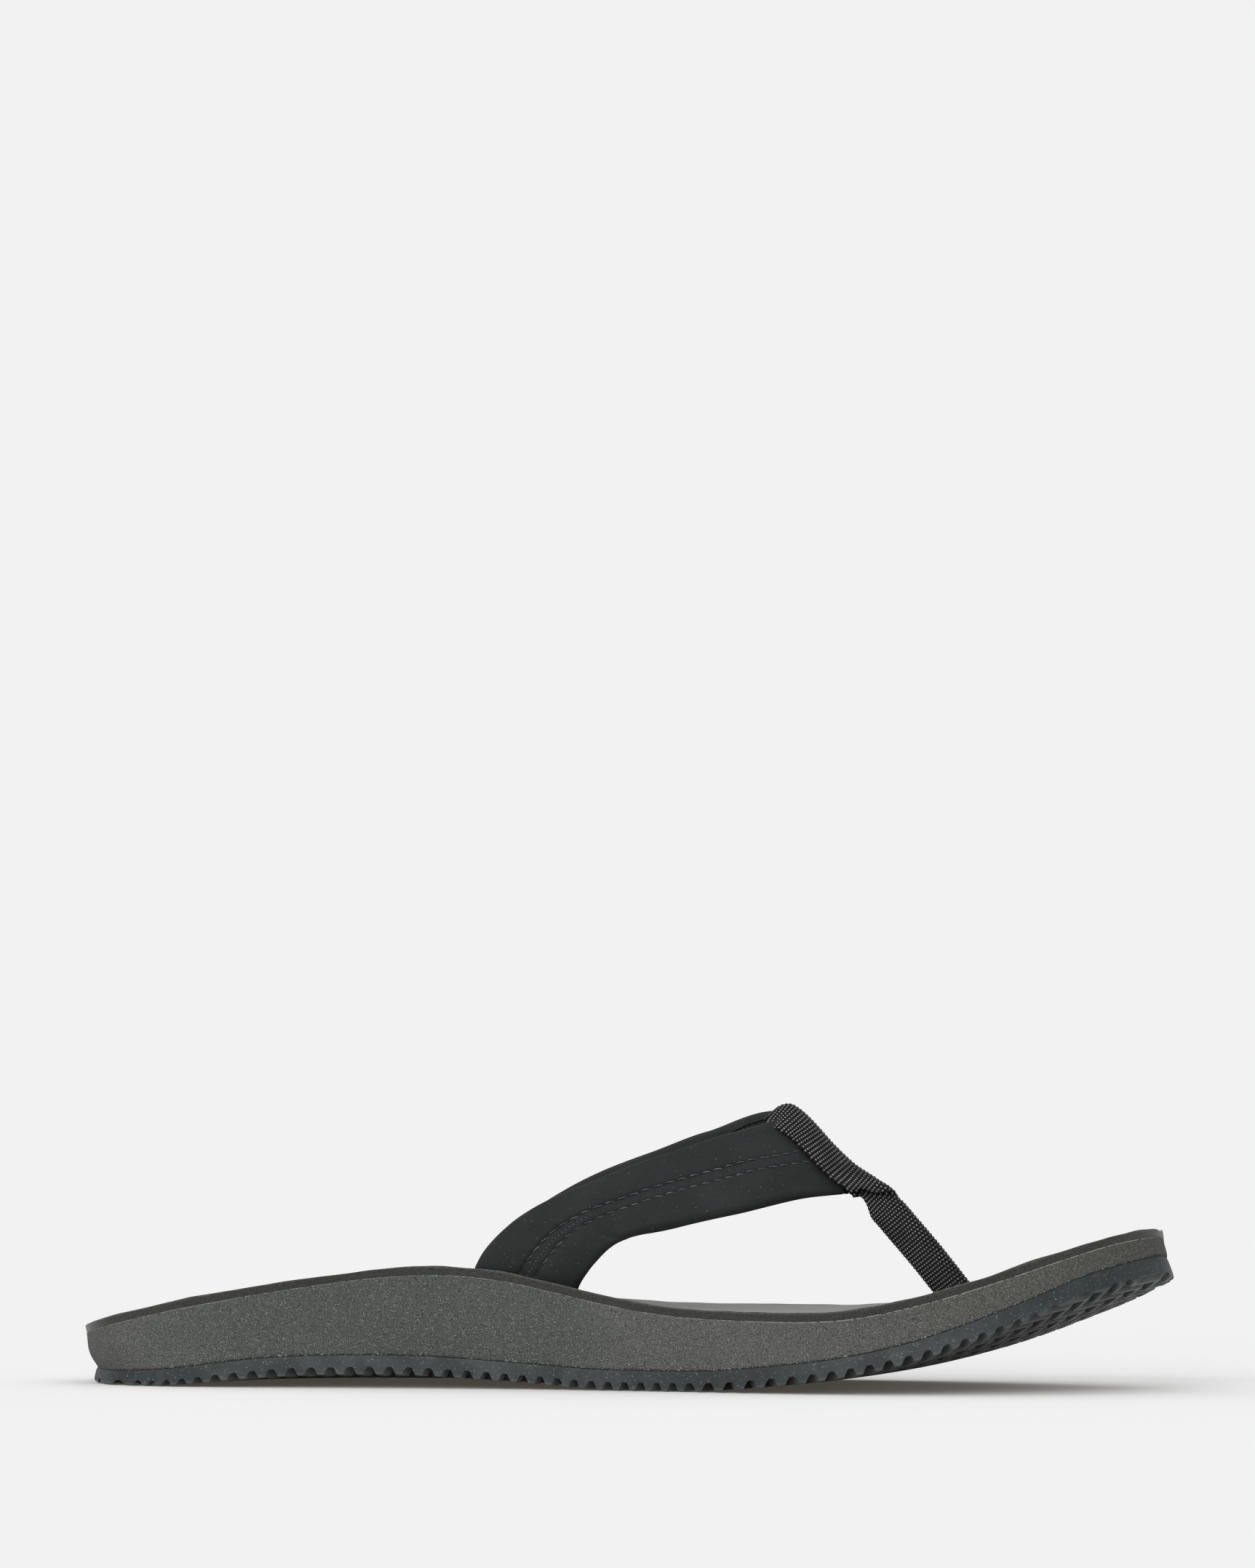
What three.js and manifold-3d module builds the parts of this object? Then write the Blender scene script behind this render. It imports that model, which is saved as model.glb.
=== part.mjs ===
// A left thong sandal (flip flop): a rubber outsole with a wave tread, a contoured foam midsole and footbed,
// two padded straps with a stitched centre seam, and one folded webbing that makes the toe post and caps the
// ridge where the straps meet. Millimetres. The sole is modelled with its heel near x = 0 and its toe at +x,
// the medial (big toe) side at -y and the ground at z = 0; the exported group is moved so that its origin is
// the centre of its bounding box, on the ground.
import * as THREE from "three";
import { mergeVertices } from "three/addons/utils/BufferGeometryUtils.js";
import Module from "manifold-3d";

const wasm = await Module();
wasm.setup();

// ---- Driving dimensions -------------------------------------------------------------------------------

const GAP = 0.3; // clearance that stands for each glue line or seam
const HEEL_X = -1.8; // ends of the footbed's outline
const TOE_X = 282.6;

const FOOTBED_THICKNESS = 2.2;
const OUTSOLE_WALL = 4.7;
const GROOVE = { pitch: 4.9, depth: 2.0, mouth: 3.2, floor: 1.3, wave: 52, swing: 6, crest: -50 };

const STRAP_WIDTH = 27;
const STRAP_HALF_THICKNESS = 2.5;
const PANEL_THICKNESS = 0.9;
const SEAM_HALF_WIDTH = 1.6;
const TAPE_HALF_WIDTH = 7;
const STITCH_RADIUS = 0.3;
const STITCH_OFFSET = 2.3; // from the seam's centre to each row of stitches
const SLOT_CLEARANCE = 0.5;

const WEBBING = { thickness: 1.2, arm: 8.2, foldLength: 2.3 };
const POST_Y = -14; // the toe post's plane, between the first and second toes
const POST_CLEARANCE = 0.4;

// Footbed outline, anticlockwise from the heel's back: x along the foot, y across it.
const OUTLINE = [
  [HEEL_X, 1], [8, -25.5], [36, -36.5], [75, -35], [120, -33], [160, -39], [200, -50], [225, -51.5],
  [250, -45.5], [271, -31.5], [TOE_X, -9], [278, 14], [261, 32], [235, 45], [200, 52.5], [170, 54],
  [130, 48], [90, 42], [55, 39], [24, 33.5], [5, 19],
];

// Heights along the sole: the footbed's two rims and the outsole's two lower edges.
const MEDIAL_RIM = [
  [HEEL_X, 14.6], [12, 18], [37, 23.4], [64, 28], [87, 31], [100, 31.6], [112, 30.9], [130, 27.5],
  [148, 23.6], [163, 21.4], [185, 20.6], [202, 20.5], [215, 21.9], [232, 25.8], [248, 30.8], [265, 36.9],
  [277, 40.8], [TOE_X, 41.8],
];
const LATERAL_RIM = [
  [HEEL_X, 14.6], [15, 17.8], [35, 20.8], [60, 22.9], [85, 23.3], [110, 22.2], [134, 20.6], [155, 20],
  [177, 19.6], [200, 20.2], [214, 21.6], [230, 24.7], [247, 29.5], [264, 35.2], [276, 39.4], [TOE_X, 41.2],
];
const MEDIAL_BASE = [
  [0, 0.6], [10, 0], [24, 0], [48, 1.9], [68, 3.2], [90, 3.4], [108, 2.5], [130, 1], [145, 0], [168, 0],
  [187, 1.4], [205, 3.4], [223, 7], [242, 13.2], [257, 19.6], [271, 25.8], [286, 30.2],
];
const LATERAL_BASE = [
  [0, 0.6], [10, 0], [182, 0], [206, 3], [222, 6.1], [238, 10.4], [255, 16.4], [273, 23.6], [286, 29.6],
];
const CUP = [[HEEL_X, 0], [30, 3], [70, 2.6], [120, 1.6], [170, 0.9], [225, 1.4], [262, 1.2], [TOE_X, 0]];

// How far each level of the sole's wall is carried forward at the heel and toe, and drawn in at the sides.
const WALL = {
  footbedTop: { heel: 0, toe: 0, inset: 0 },
  footbedUnder: { heel: 0.4, toe: 0.2, inset: 0.1 },
  outsoleTop: { heel: 3, toe: 1.3, inset: 1.2 },
  outsoleBase: { heel: 2.3, toe: 2.8, inset: 1 },
};

// Edges of each strap's middle surface, from the end inside the sole up to the ridge. inward is the
// direction across the sole, from the strap towards the other one.
const STRAPS = {
  medial: {
    inward: 1,
    rear: [
      [109, -27.5, 8], [109, -27.5, 26], [109.4, -28.6, 31], [113, -30.6, 36.4], [118.5, -31.5, 41.6],
      [128, -31, 48.2], [140, -28.5, 54], [155, -26.4, 59.9], [169, -25, 63.9], [179, -22.9, 66.4],
      [184.4, -20.4, 68.2], [186.9, -17.4, 69.2],
    ],
    front: [
      [136, -28, 7.6], [136, -28, 24], [136.6, -29.6, 28], [141, -33, 33.4], [148, -36, 38.6],
      [158, -37.5, 41.6], [172, -36.2, 45.2], [186, -30.6, 48], [202.8, -17.6, 49.8],
    ],
  },
  lateral: {
    inward: -1,
    rear: [
      [92, 37.6, 6], [92, 37.6, 21], [92.6, 38.4, 26], [97, 39.5, 33], [104, 37.5, 40.4], [113.5, 32, 47],
      [126, 25.5, 53], [140, 18.5, 58.2], [155, 10.5, 62.8], [169, 1.5, 66.2], [178.6, -4.2, 68],
      [184.4, -8, 68.8], [186.9, -10.8, 69.2],
    ],
    front: [
      [119, 38.6, 6], [119, 38.6, 20], [119.6, 39.6, 25], [124.6, 41.5, 32], [133, 41, 38.8],
      [147, 37.5, 44.2], [163, 31, 47.6], [179, 20, 49.4], [190, 8, 50], [202.8, -10.6, 49.8],
    ],
  },
};

// The webbing's outer centre line: from its end under the ridge, round the notch where the straps meet, over
// the ridge and down the toe post. Each point is x, z and the angles that the medial and the lateral arm
// make with the direction into the fold, in degrees.
const WEBBING_PATH = [
  [183.2, 67.8, 114, 118], [183.2, 69.4, 104, 110], [184.8, 71.6, 82, 88],
  [188.2, 72.7, 62, 72], [192.6, 69.9, 54, 66], [199.4, 62.7, 53, 64], [205.4, 57.2, 50, 56],
  [210.6, 53.9, 30, 34], [216, 49.6, 10, 12], [221, 44.1, 3, 3], [228, 36, 1, 1],
  [235, 27.3, 1, 1], [240, 21.1, 1, 1],
];

// ---- Curves and lofts ---------------------------------------------------------------------------------

// A smooth function through [x, y] points that never overshoots them.
function through(points) {
  const slopes = points.map(() => 0);
  const rise = (i) => (points[i + 1][1] - points[i][1]) / (points[i + 1][0] - points[i][0]);
  for (let i = 1; i + 1 < points.length; i++) {
    const [before, after] = [rise(i - 1), rise(i)];
    slopes[i] = before * after > 0 ? (2 * before * after) / (before + after) : 0;
  }
  slopes[0] = rise(0);
  slopes[points.length - 1] = rise(points.length - 2);
  return (x) => {
    const clamped = THREE.MathUtils.clamp(x, points[0][0], points.at(-1)[0]);
    let i = points.findIndex((p) => p[0] >= clamped) - 1;
    i = Math.max(0, i);
    const [[x0, y0], [x1, y1]] = [points[i], points[i + 1]];
    const h = x1 - x0;
    const t = (clamped - x0) / h;
    const hermite =
      (1 + 2 * t) * (1 - t) ** 2 * y0 + t * (1 - t) ** 2 * h * slopes[i] +
      t * t * (3 - 2 * t) * y1 + t * t * (t - 1) * h * slopes[i + 1];
    return hermite;
  };
}

const smooth = THREE.MathUtils.smoothstep;

// A closed geometry through rings of points, which all follow the same closed 2-D section.
function loft(rings, section) {
  const count = section.length;
  const last = (rings.length - 1) * count;
  const faces = [];
  for (let i = 0; i + 1 < rings.length; i++)
    for (let j = 0; j < count; j++) {
      const [a, b] = [i * count + j, i * count + ((j + 1) % count)];
      faces.push(a, b, b + count, a, b + count, a + count);
    }
  const turn = Math.sign(THREE.ShapeUtils.area(section));
  for (const triangle of THREE.ShapeUtils.triangulateShape(section, [])) {
    const corners = triangle.map((k) => section[k]);
    const [p, q, r] = Math.sign(THREE.ShapeUtils.area(corners)) === turn ? triangle : triangle.toReversed();
    faces.push(p, r, q, last + p, last + q, last + r);
  }
  const positions = rings.flat().flatMap((point) => point.toArray());
  return facingOut(positions, faces);
}

function facingOut(positions, faces) {
  const at = (k) => new THREE.Vector3().fromArray(positions, 3 * k);
  let volume = 0;
  for (let i = 0; i < faces.length; i += 3)
    volume += at(faces[i]).dot(at(faces[i + 1]).cross(at(faces[i + 2])));
  return new THREE.BufferGeometry()
    .setAttribute("position", new THREE.Float32BufferAttribute(positions, 3))
    .setIndex(volume > 0 ? faces : faces.toReversed());
}

function solid(geometry) {
  const merged = mergeVertices(geometry, 1e-4);
  return new wasm.Manifold(
    new wasm.Mesh({
      numProp: 3,
      vertProperties: merged.attributes.position.array,
      triVerts: new Uint32Array(merged.index.array),
    }),
  );
}

function geometryOf(manifold) {
  const mesh = manifold.getMesh();
  return new THREE.BufferGeometry()
    .setAttribute("position", new THREE.BufferAttribute(new Float32Array(mesh.vertProperties), 3))
    .setIndex(new THREE.BufferAttribute(new Uint32Array(mesh.triVerts), 1));
}

function cut(geometry, cutters) {
  return geometryOf(cutters.reduce((body, cutter) => body.subtract(solid(cutter)), solid(geometry)));
}

// ---- The sole's surfaces ------------------------------------------------------------------------------

const medialRim = through(MEDIAL_RIM);
const lateralRim = through(LATERAL_RIM);
const medialBase = through(MEDIAL_BASE);
const lateralBase = through(LATERAL_BASE);
const cupDepth = through(CUP);

const ARCH_FALL = 1.5; // how fast the medial side's height fades across the sole
const OUTLINE_POINTS = 600; // points read off the outline's curve

function halves() {
  const curve = new THREE.CatmullRomCurve3(
    OUTLINE.map(([x, y]) => new THREE.Vector3(x, y, 0)), true, "centripetal",
  );
  const points = curve.getPoints(OUTLINE_POINTS);
  const toe = points.reduce((best, p, i) => (p.x > points[best].x ? i : best), 0);
  const flat = (list) => list.map((p) => [p.x, p.y]).sort((a, b) => a[0] - b[0]);
  return { medial: flat(points.slice(0, toe + 1)), lateral: flat(points.slice(toe)) };
}

function alongEdge(edge, x) {
  const i = THREE.MathUtils.clamp(edge.findIndex((p) => p[0] >= x), 1, edge.length - 1);
  const [[x0, y0], [x1, y1]] = [edge[i - 1], edge[i]];
  return x1 === x0 ? y0 : THREE.MathUtils.lerp(y0, y1, THREE.MathUtils.clamp((x - x0) / (x1 - x0), 0, 1));
}

const edges = halves();

// t runs from -1 on the medial edge to 1 on the lateral one.
const spread = (medial, lateral, t) => lateral + (medial - lateral) * ((1 - t) / 2) ** ARCH_FALL;
const topHeight = (x, t) => spread(medialRim(x), lateralRim(x), t) - cupDepth(x) * (1 - t * t);
const baseHeight = (x, t) => spread(medialBase(x), lateralBase(x), t);

function acrossAt(x, y) {
  const [medial, lateral] = [alongEdge(edges.medial, x), alongEdge(edges.lateral, x)];
  return THREE.MathUtils.clamp((2 * y - medial - lateral) / (lateral - medial), -1, 1);
}

const outsoleTopAt = (x, y) => baseHeight(x, acrossAt(x, y)) + OUTSOLE_WALL;

function solePoint(x, t, wall, height) {
  const [medial, lateral] = [alongEdge(edges.medial, x), alongEdge(edges.lateral, x)];
  const forward = wall.heel * (1 - smooth(x, 0, 60)) + wall.toe * smooth(x, 200, TOE_X);
  const half = (lateral - medial) / 2;
  const inset = Math.min(wall.inset, half / 2);
  const placed = x + forward;
  return new THREE.Vector3(placed, (lateral + medial) / 2 + (half - inset) * t, height(placed, t));
}

const STATIONS = 38;
const TOP_ACROSS = 8; // facets across the footbed's surfaces
const BASE_ACROSS = 4; // and across the outsole's
const END_TRIM = 0.06; // the heel and toe end in a narrow upright facet

// A layer of the sole between two levels, each of which is [wall, height, facets across].
function layer(upper, lower) {
  const rings = [];
  for (let i = 0; i <= STATIONS; i++) {
    const share = (1 - Math.cos((Math.PI * i) / STATIONS)) / 2;
    const x = THREE.MathUtils.lerp(HEEL_X + END_TRIM, TOE_X - END_TRIM, share);
    const row = ([wall, height, facets]) =>
      Array.from({ length: facets + 1 }, (_, j) => solePoint(x, (2 * j) / facets - 1, wall, height));
    rings.push([...row(upper), ...row(lower).toReversed()]);
  }
  return loft(rings, rings[0].map((p) => new THREE.Vector2(p.y, p.z)));
}

// ---- Sole pieces --------------------------------------------------------------------------------------

function waveOffset(y) {
  const phase = (y - GROOVE.crest) / GROOVE.wave;
  return GROOVE.swing * (4 * Math.abs(phase - Math.floor(phase + 0.5)) - 1);
}

// One tread groove: a trapezoid trench that crosses the whole sole as a zigzag.
function grooveCutter(x0) {
  const rings = [];
  for (let y = GROOVE.crest - GROOVE.wave / 2; y <= -GROOVE.crest + GROOVE.wave; y += GROOVE.wave / 2) {
    const x = x0 - waveOffset(y);
    const corner = (dx, dz) => new THREE.Vector3(x + dx, y, baseHeight(x + dx, acrossAt(x + dx, y)) + dz);
    const mouth = GROOVE.mouth * (1 + 1 / GROOVE.depth) - GROOVE.floor / GROOVE.depth;
    rings.push([
      corner(-GROOVE.floor / 2, GROOVE.depth), corner(-mouth / 2, -1),
      corner(mouth / 2, -1), corner(GROOVE.floor / 2, GROOVE.depth),
    ]);
  }
  return loft(rings, rings[0].map((p) => new THREE.Vector2(p.x, p.z)));
}

function outsole() {
  const top = (x, t) => baseHeight(x, t) + OUTSOLE_WALL;
  const body = layer([WALL.outsoleTop, top, BASE_ACROSS], [WALL.outsoleBase, baseHeight, BASE_ACROSS]);
  const grooves = [];
  for (let x = HEEL_X + GROOVE.pitch; x < TOE_X + GROOVE.swing; x += GROOVE.pitch)
    grooves.push(grooveCutter(x));
  return cut(body, grooves);
}

// A plate that follows a height function between two offsets above it.
function patch([x0, x1], [y0, y1], height, low, high) {
  const steps = 4;
  const rings = [];
  for (let i = 0; i <= steps; i++) {
    const x = THREE.MathUtils.lerp(x0, x1, i / steps);
    const row = (dz) =>
      Array.from({ length: steps + 1 }, (_, j) => {
        const y = THREE.MathUtils.lerp(y0, y1, j / steps);
        return new THREE.Vector3(x, y, height(x, y) + dz);
      });
    rings.push([...row(high), ...row(low).toReversed()]);
  }
  return loft(rings, rings[0].map((p) => new THREE.Vector2(p.y, p.z)));
}

const TAIL = { length: 19, thickness: 0.65, recess: 2.3, bend: 1.2 };

// The recess under the midsole that holds a strap tape's folded tail.
function tailRecess({ inward, rear, front }) {
  const middle = (rear[0][0] + front[0][0]) / 2;
  const reach = TAPE_HALF_WIDTH + 1;
  const inner = rear[0][1] + inward * (STRAP_HALF_THICKNESS + TAIL.length + 1);
  const ys = [rear[0][1], inner].toSorted((a, b) => a - b);
  return patch([middle - reach, middle + reach], ys, outsoleTopAt, -1, TAIL.recess);
}

const [POST_TOP, POST_FOOT] = WEBBING_PATH.slice(-2).map(([x, z]) => new THREE.Vector3(x, POST_Y, z));
const POST_AXIS = POST_FOOT.clone().sub(POST_TOP).normalize();
const ANCHOR = { length: 24, width: 20, thickness: 1.6, ahead: 4 };
const POST_SLOT = { above: 14, below: 26 }; // how far the slot reaches from the post's top, along it

// The sloping slot that the folded webbing drops through.
function postSlot(clearance) {
  const rearward = new THREE.Vector3(POST_AXIS.z, 0, -POST_AXIS.x);
  const half = WEBBING.foldLength / (Math.PI / 2) + WEBBING.thickness / 2 + clearance;
  const depth = WEBBING.arm + clearance;
  const plan = [[-clearance, -half], [depth, -half], [depth, half], [-clearance, half]];
  const rings = [-POST_SLOT.above, POST_SLOT.below].map((along) =>
    plan.map(([back, y]) => {
      const point = POST_TOP.clone().addScaledVector(POST_AXIS, along).addScaledVector(rearward, back);
      return point.add(new THREE.Vector3(0, y, 0));
    }),
  );
  return loft(rings, plan.map(([x, y]) => new THREE.Vector2(x, y)));
}

function anchorPatch(grow, low, high) {
  const middle = WEBBING_PATH.at(-1)[0] - ANCHOR.ahead;
  return patch(
    [middle - ANCHOR.length / 2 - grow, middle + ANCHOR.length / 2 + grow],
    [POST_Y - ANCHOR.width / 2 - grow, POST_Y + ANCHOR.width / 2 + grow], outsoleTopAt, low, high,
  );
}

function midsole() {
  const top = (x, t) => topHeight(x, t) - FOOTBED_THICKNESS - GAP;
  const base = (x, t) => baseHeight(x, t) + OUTSOLE_WALL + GAP;
  const body = layer([WALL.footbedUnder, top, TOP_ACROSS], [WALL.outsoleTop, base, BASE_ACROSS]);
  const straps = Object.values(STRAPS);
  const anchorRecess = anchorPatch(0.5, -1, ANCHOR.thickness + 2 * GAP);
  return cut(body, [
    ...straps.map(strapSlot), ...straps.map(tailRecess), postSlot(POST_CLEARANCE), anchorRecess,
  ]);
}

function footbed() {
  const under = (x, t) => topHeight(x, t) - FOOTBED_THICKNESS;
  const body = layer([WALL.footbedTop, topHeight, TOP_ACROSS], [WALL.footbedUnder, under, TOP_ACROSS]);
  return cut(body, [...Object.values(STRAPS).map(strapSlot), postSlot(POST_CLEARANCE)]);
}

function toeAnchor() {
  return cut(anchorPatch(0, GAP, GAP + ANCHOR.thickness), [postSlot(POST_CLEARANCE)]);
}

// ---- Strap pieces -------------------------------------------------------------------------------------

const STRAP_STEPS = 20;
const STRAP_START = 0.045; // the layers stop short of the end of the strap's slot
const curveOf = (points) =>
  new THREE.CatmullRomCurve3(points.map((p) => new THREE.Vector3(...p)), false, "centripetal");

// Rings of a section of [across, out] points, carried along a strap between two shares of its length.
function strapRings(strap, section, { steps = STRAP_STEPS, from = STRAP_START, to = 1 } = {}) {
  const [rear, front] = [curveOf(strap.rear), curveOf(strap.front)];
  const middle = (u) => rear.getPointAt(u).lerp(front.getPointAt(u), 0.5);
  return Array.from({ length: steps + 1 }, (_, i) => {
    const u = THREE.MathUtils.lerp(from, to, i / steps);
    const width = front.getPointAt(u).sub(rear.getPointAt(u));
    const along = middle(Math.min(1, u + 0.01)).sub(middle(Math.max(0, u - 0.01)));
    const out = width.clone().cross(along).normalize().multiplyScalar(strap.inward);
    const squeezed = 1 - 0.45 * smooth(u, 0.82, 1); // the webbing pinches the straps' ends together
    return section.map(([across, lift]) =>
      middle(u).addScaledVector(width, across / STRAP_WIDTH).addScaledVector(out, lift * squeezed),
    );
  });
}

const planar = (section) => section.map(([a, b]) => new THREE.Vector2(a, b));
const strapLoft = (strap, section, options) => loft(strapRings(strap, section, options), planar(section));

// A slab's section, with its wide faces in three facets so that they can follow a strap's twist.
const slab = (half, low, high, bevel) => {
  const third = (half - bevel) / 3;
  return [
    [-half, low + bevel], [-3 * third, low], [-third, low],
    [third, low], [3 * third, low], [half, low + bevel],
    [half, high - bevel], [3 * third, high], [third, high],
    [-third, high], [-3 * third, high], [-half, high - bevel],
  ];
};

// The slot that a strap drops through, cut to the strap's own shape.
function strapSlot(strap) {
  const half = STRAP_HALF_THICKNESS + SLOT_CLEARANCE;
  const section = slab(STRAP_WIDTH / 2 + SLOT_CLEARANCE, -half, half, 0.6);
  return strapLoft(strap, section, { steps: 8, from: 0, to: 0.36 });
}

// One outer panel: flat over the padding, and turned down round the strap's edge.
function panelSection(direction) {
  const [edge, top, inner] = [STRAP_WIDTH / 2, STRAP_HALF_THICKNESS, PANEL_THICKNESS];
  const start = SEAM_HALF_WIDTH + GAP;
  return [
    [start, top], [edge - 2.4, top], [edge - 0.7, top - 0.9], [edge, 0], [edge - 0.6, -1.6],
    [edge - 0.6 - inner, -1.2], [edge - inner, 0], [edge - 0.7 - inner, top - 1.5],
    [edge - 2.8, top - inner], [start, top - inner],
  ].map(([across, lift]) => [direction * across, lift]);
}

const ribbon = (half, low, high) => [[-half, low], [half, low], [half, high], [-half, high]];
const seamTape = ribbon(SEAM_HALF_WIDTH, STRAP_HALF_THICKNESS - 0.8, STRAP_HALF_THICKNESS + 0.3);
const padding = slab(STRAP_WIDTH / 2 - 2.2, -0.45, STRAP_HALF_THICKNESS - PANEL_THICKNESS - 0.6, 0.6);
const tapeSection = slab(TAPE_HALF_WIDTH, -1.5, -1.5 + TAIL.thickness, 0.1);
const liningSection = slab(STRAP_WIDTH / 2 - 1.8, -STRAP_HALF_THICKNESS, -1.8, 0.2);

function stitchSection(across) {
  const lift = STRAP_HALF_THICKNESS + GAP + STITCH_RADIUS;
  const ring = [[1, 0], [0, 1], [-1, 0], [0, -1]];
  return ring.map(([a, b]) => [across + STITCH_RADIUS * a, lift + STITCH_RADIUS * b]);
}

// The tape inside a strap: down the slot, then turned inwards under the midsole.
function strapTape(strap) {
  const { inward, rear, front } = strap;
  const middle = (rear[0][0] + front[0][0]) / 2;
  const centre = -1.5 + TAIL.thickness / 2;
  const start = rear[0][1] - inward * centre;
  const tailRing = (reach, rise, turn) =>
    tapeSection.map(([across, lift]) => {
      const x = middle + across;
      const y = start + inward * (reach - (lift - centre) * Math.cos(turn));
      const level = outsoleTopAt(x, start + inward * reach) + GAP + TAIL.thickness / 2;
      return new THREE.Vector3(x, y, level + rise - (lift - centre) * Math.sin(turn));
    });
  const bend = [0, Math.PI / 4, Math.PI / 2].map((turn) =>
    tailRing(TAIL.bend * (1 - Math.cos(turn)), TAIL.bend * (1 - Math.sin(turn)), turn),
  );
  const tail = [9, TAIL.length].map((reach) => tailRing(reach, 0, Math.PI / 2));
  const upright = strapRings(strap, tapeSection, { to: 0.95 }).toReversed();
  return loft([...upright, ...bend, ...tail], planar(tapeSection));
}

// ---- Webbing ------------------------------------------------------------------------------------------

// Half the webbing's middle line in its own plane: an arc at the fold and then a straight arm.
function armPoint(length, degrees) {
  const bend = Math.max(0.02, Math.abs(Math.PI / 2 - THREE.MathUtils.degToRad(degrees)));
  const sign = degrees > 90 ? -1 : 1;
  const radius = WEBBING.foldLength / bend;
  const angle = bend * Math.min(1, length / WEBBING.foldLength);
  const straight = Math.max(0, length - WEBBING.foldLength);
  return {
    across: radius * Math.sin(angle) + straight * Math.cos(angle),
    into: sign * (radius * (1 - Math.cos(angle)) + straight * Math.sin(angle)),
    tilt: sign * angle,
  };
}

function webbingSection(medialAngle, lateralAngle) {
  const lengths = [0, WEBBING.foldLength / 2, WEBBING.foldLength, WEBBING.arm];
  const side = (direction, degrees, offset) =>
    lengths.map((length) => {
      const { across, into, tilt } = armPoint(length, degrees);
      const depth = WEBBING.thickness / 2 + into + offset * Math.cos(tilt);
      return [direction * (across - offset * Math.sin(tilt)), depth];
    });
  const face = (offset) => [
    ...side(-1, medialAngle, offset).toReversed(), ...side(1, lateralAngle, offset).slice(1),
  ];
  return [...face(-WEBBING.thickness / 2), ...face(WEBBING.thickness / 2).toReversed()];
}

function webbing() {
  const path = curveOf(WEBBING_PATH.map(([x, z]) => [x, POST_Y, z]));
  const last = WEBBING_PATH.length - 1;
  const angles = [2, 3].map((k) => through(WEBBING_PATH.map((point, i) => [i / last, point[k]])));
  const steps = 2 * last;
  const rings = Array.from({ length: steps + 1 }, (_, i) => {
    const u = i / steps;
    const tangent = path.getTangent(u);
    const into = new THREE.Vector3(tangent.z, 0, -tangent.x);
    return webbingSection(angles[0](u), angles[1](u)).map(([across, depth]) =>
      path.getPoint(u).addScaledVector(into, depth).add(new THREE.Vector3(0, across, 0)),
    );
  });
  return loft(rings, planar(webbingSection(...WEBBING_PATH[0].slice(2))));
}

// ---- Assembly -----------------------------------------------------------------------------------------

const finish = (color, roughness) => new THREE.MeshStandardMaterial({ color, roughness, metalness: 0 });
const FINISHES = {
  rubber: finish(0x41484a, 0.6),
  foam: finish(0x575955, 0.9),
  footbedFoam: finish(0x434441, 0.9),
  strapCloth: finish(0x363939, 0.8),
  liningCloth: finish(0x2a2a28, 0.95),
  paddingFoam: finish(0x55575a, 0.95),
  webbing: finish(0x2b2b2d, 0.7),
  thread: finish(0x3c3d42, 0.6),
  tape: finish(0x26272a, 0.7),
  plastic: finish(0x1f2022, 0.5),
};

const flipFlop = new THREE.Group();

function add(name, geometry, material) {
  geometry.computeVertexNormals();
  const mesh = new THREE.Mesh(geometry, material);
  mesh.name = name;
  flipFlop.add(mesh);
}

function addStrap(name, strap) {
  const seamRow = (across) => strapLoft(strap, stitchSection(across), { steps: 24, from: 0.28, to: 0.94 });
  add(`${name}_strap_rear_panel`, strapLoft(strap, panelSection(-1)), FINISHES.strapCloth);
  add(`${name}_strap_front_panel`, strapLoft(strap, panelSection(1)), FINISHES.strapCloth);
  add(`${name}_strap_seam_tape`, strapLoft(strap, seamTape), FINISHES.strapCloth);
  add(`${name}_strap_padding`, strapLoft(strap, padding), FINISHES.paddingFoam);
  add(`${name}_strap_tape`, strapTape(strap), FINISHES.tape);
  add(`${name}_strap_lining`, strapLoft(strap, liningSection), FINISHES.liningCloth);
  add(`${name}_strap_rear_stitching`, seamRow(-STITCH_OFFSET), FINISHES.thread);
  add(`${name}_strap_front_stitching`, seamRow(STITCH_OFFSET), FINISHES.thread);
}

add("outsole", outsole(), FINISHES.rubber);
add("midsole", midsole(), FINISHES.foam);
add("footbed", footbed(), FINISHES.footbedFoam);
add("toe_post_webbing", webbing(), FINISHES.webbing);
add("toe_post_anchor", toeAnchor(), FINISHES.plastic);
addStrap("medial", STRAPS.medial);
addStrap("lateral", STRAPS.lateral);

const box = new THREE.Box3().setFromObject(flipFlop, true);
flipFlop.position.set(-(box.min.x + box.max.x) / 2, -(box.min.y + box.max.y) / 2, -box.min.z);

export default flipFlop;
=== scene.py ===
"""The looks of a left flip flop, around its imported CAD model. Metres, in the CAD's frame: +X toe, +Z up."""
import copy
import math

import bmesh
import bpy
import numpy as np
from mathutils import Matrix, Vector
from mathutils.bvhtree import BVHTree


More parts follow.
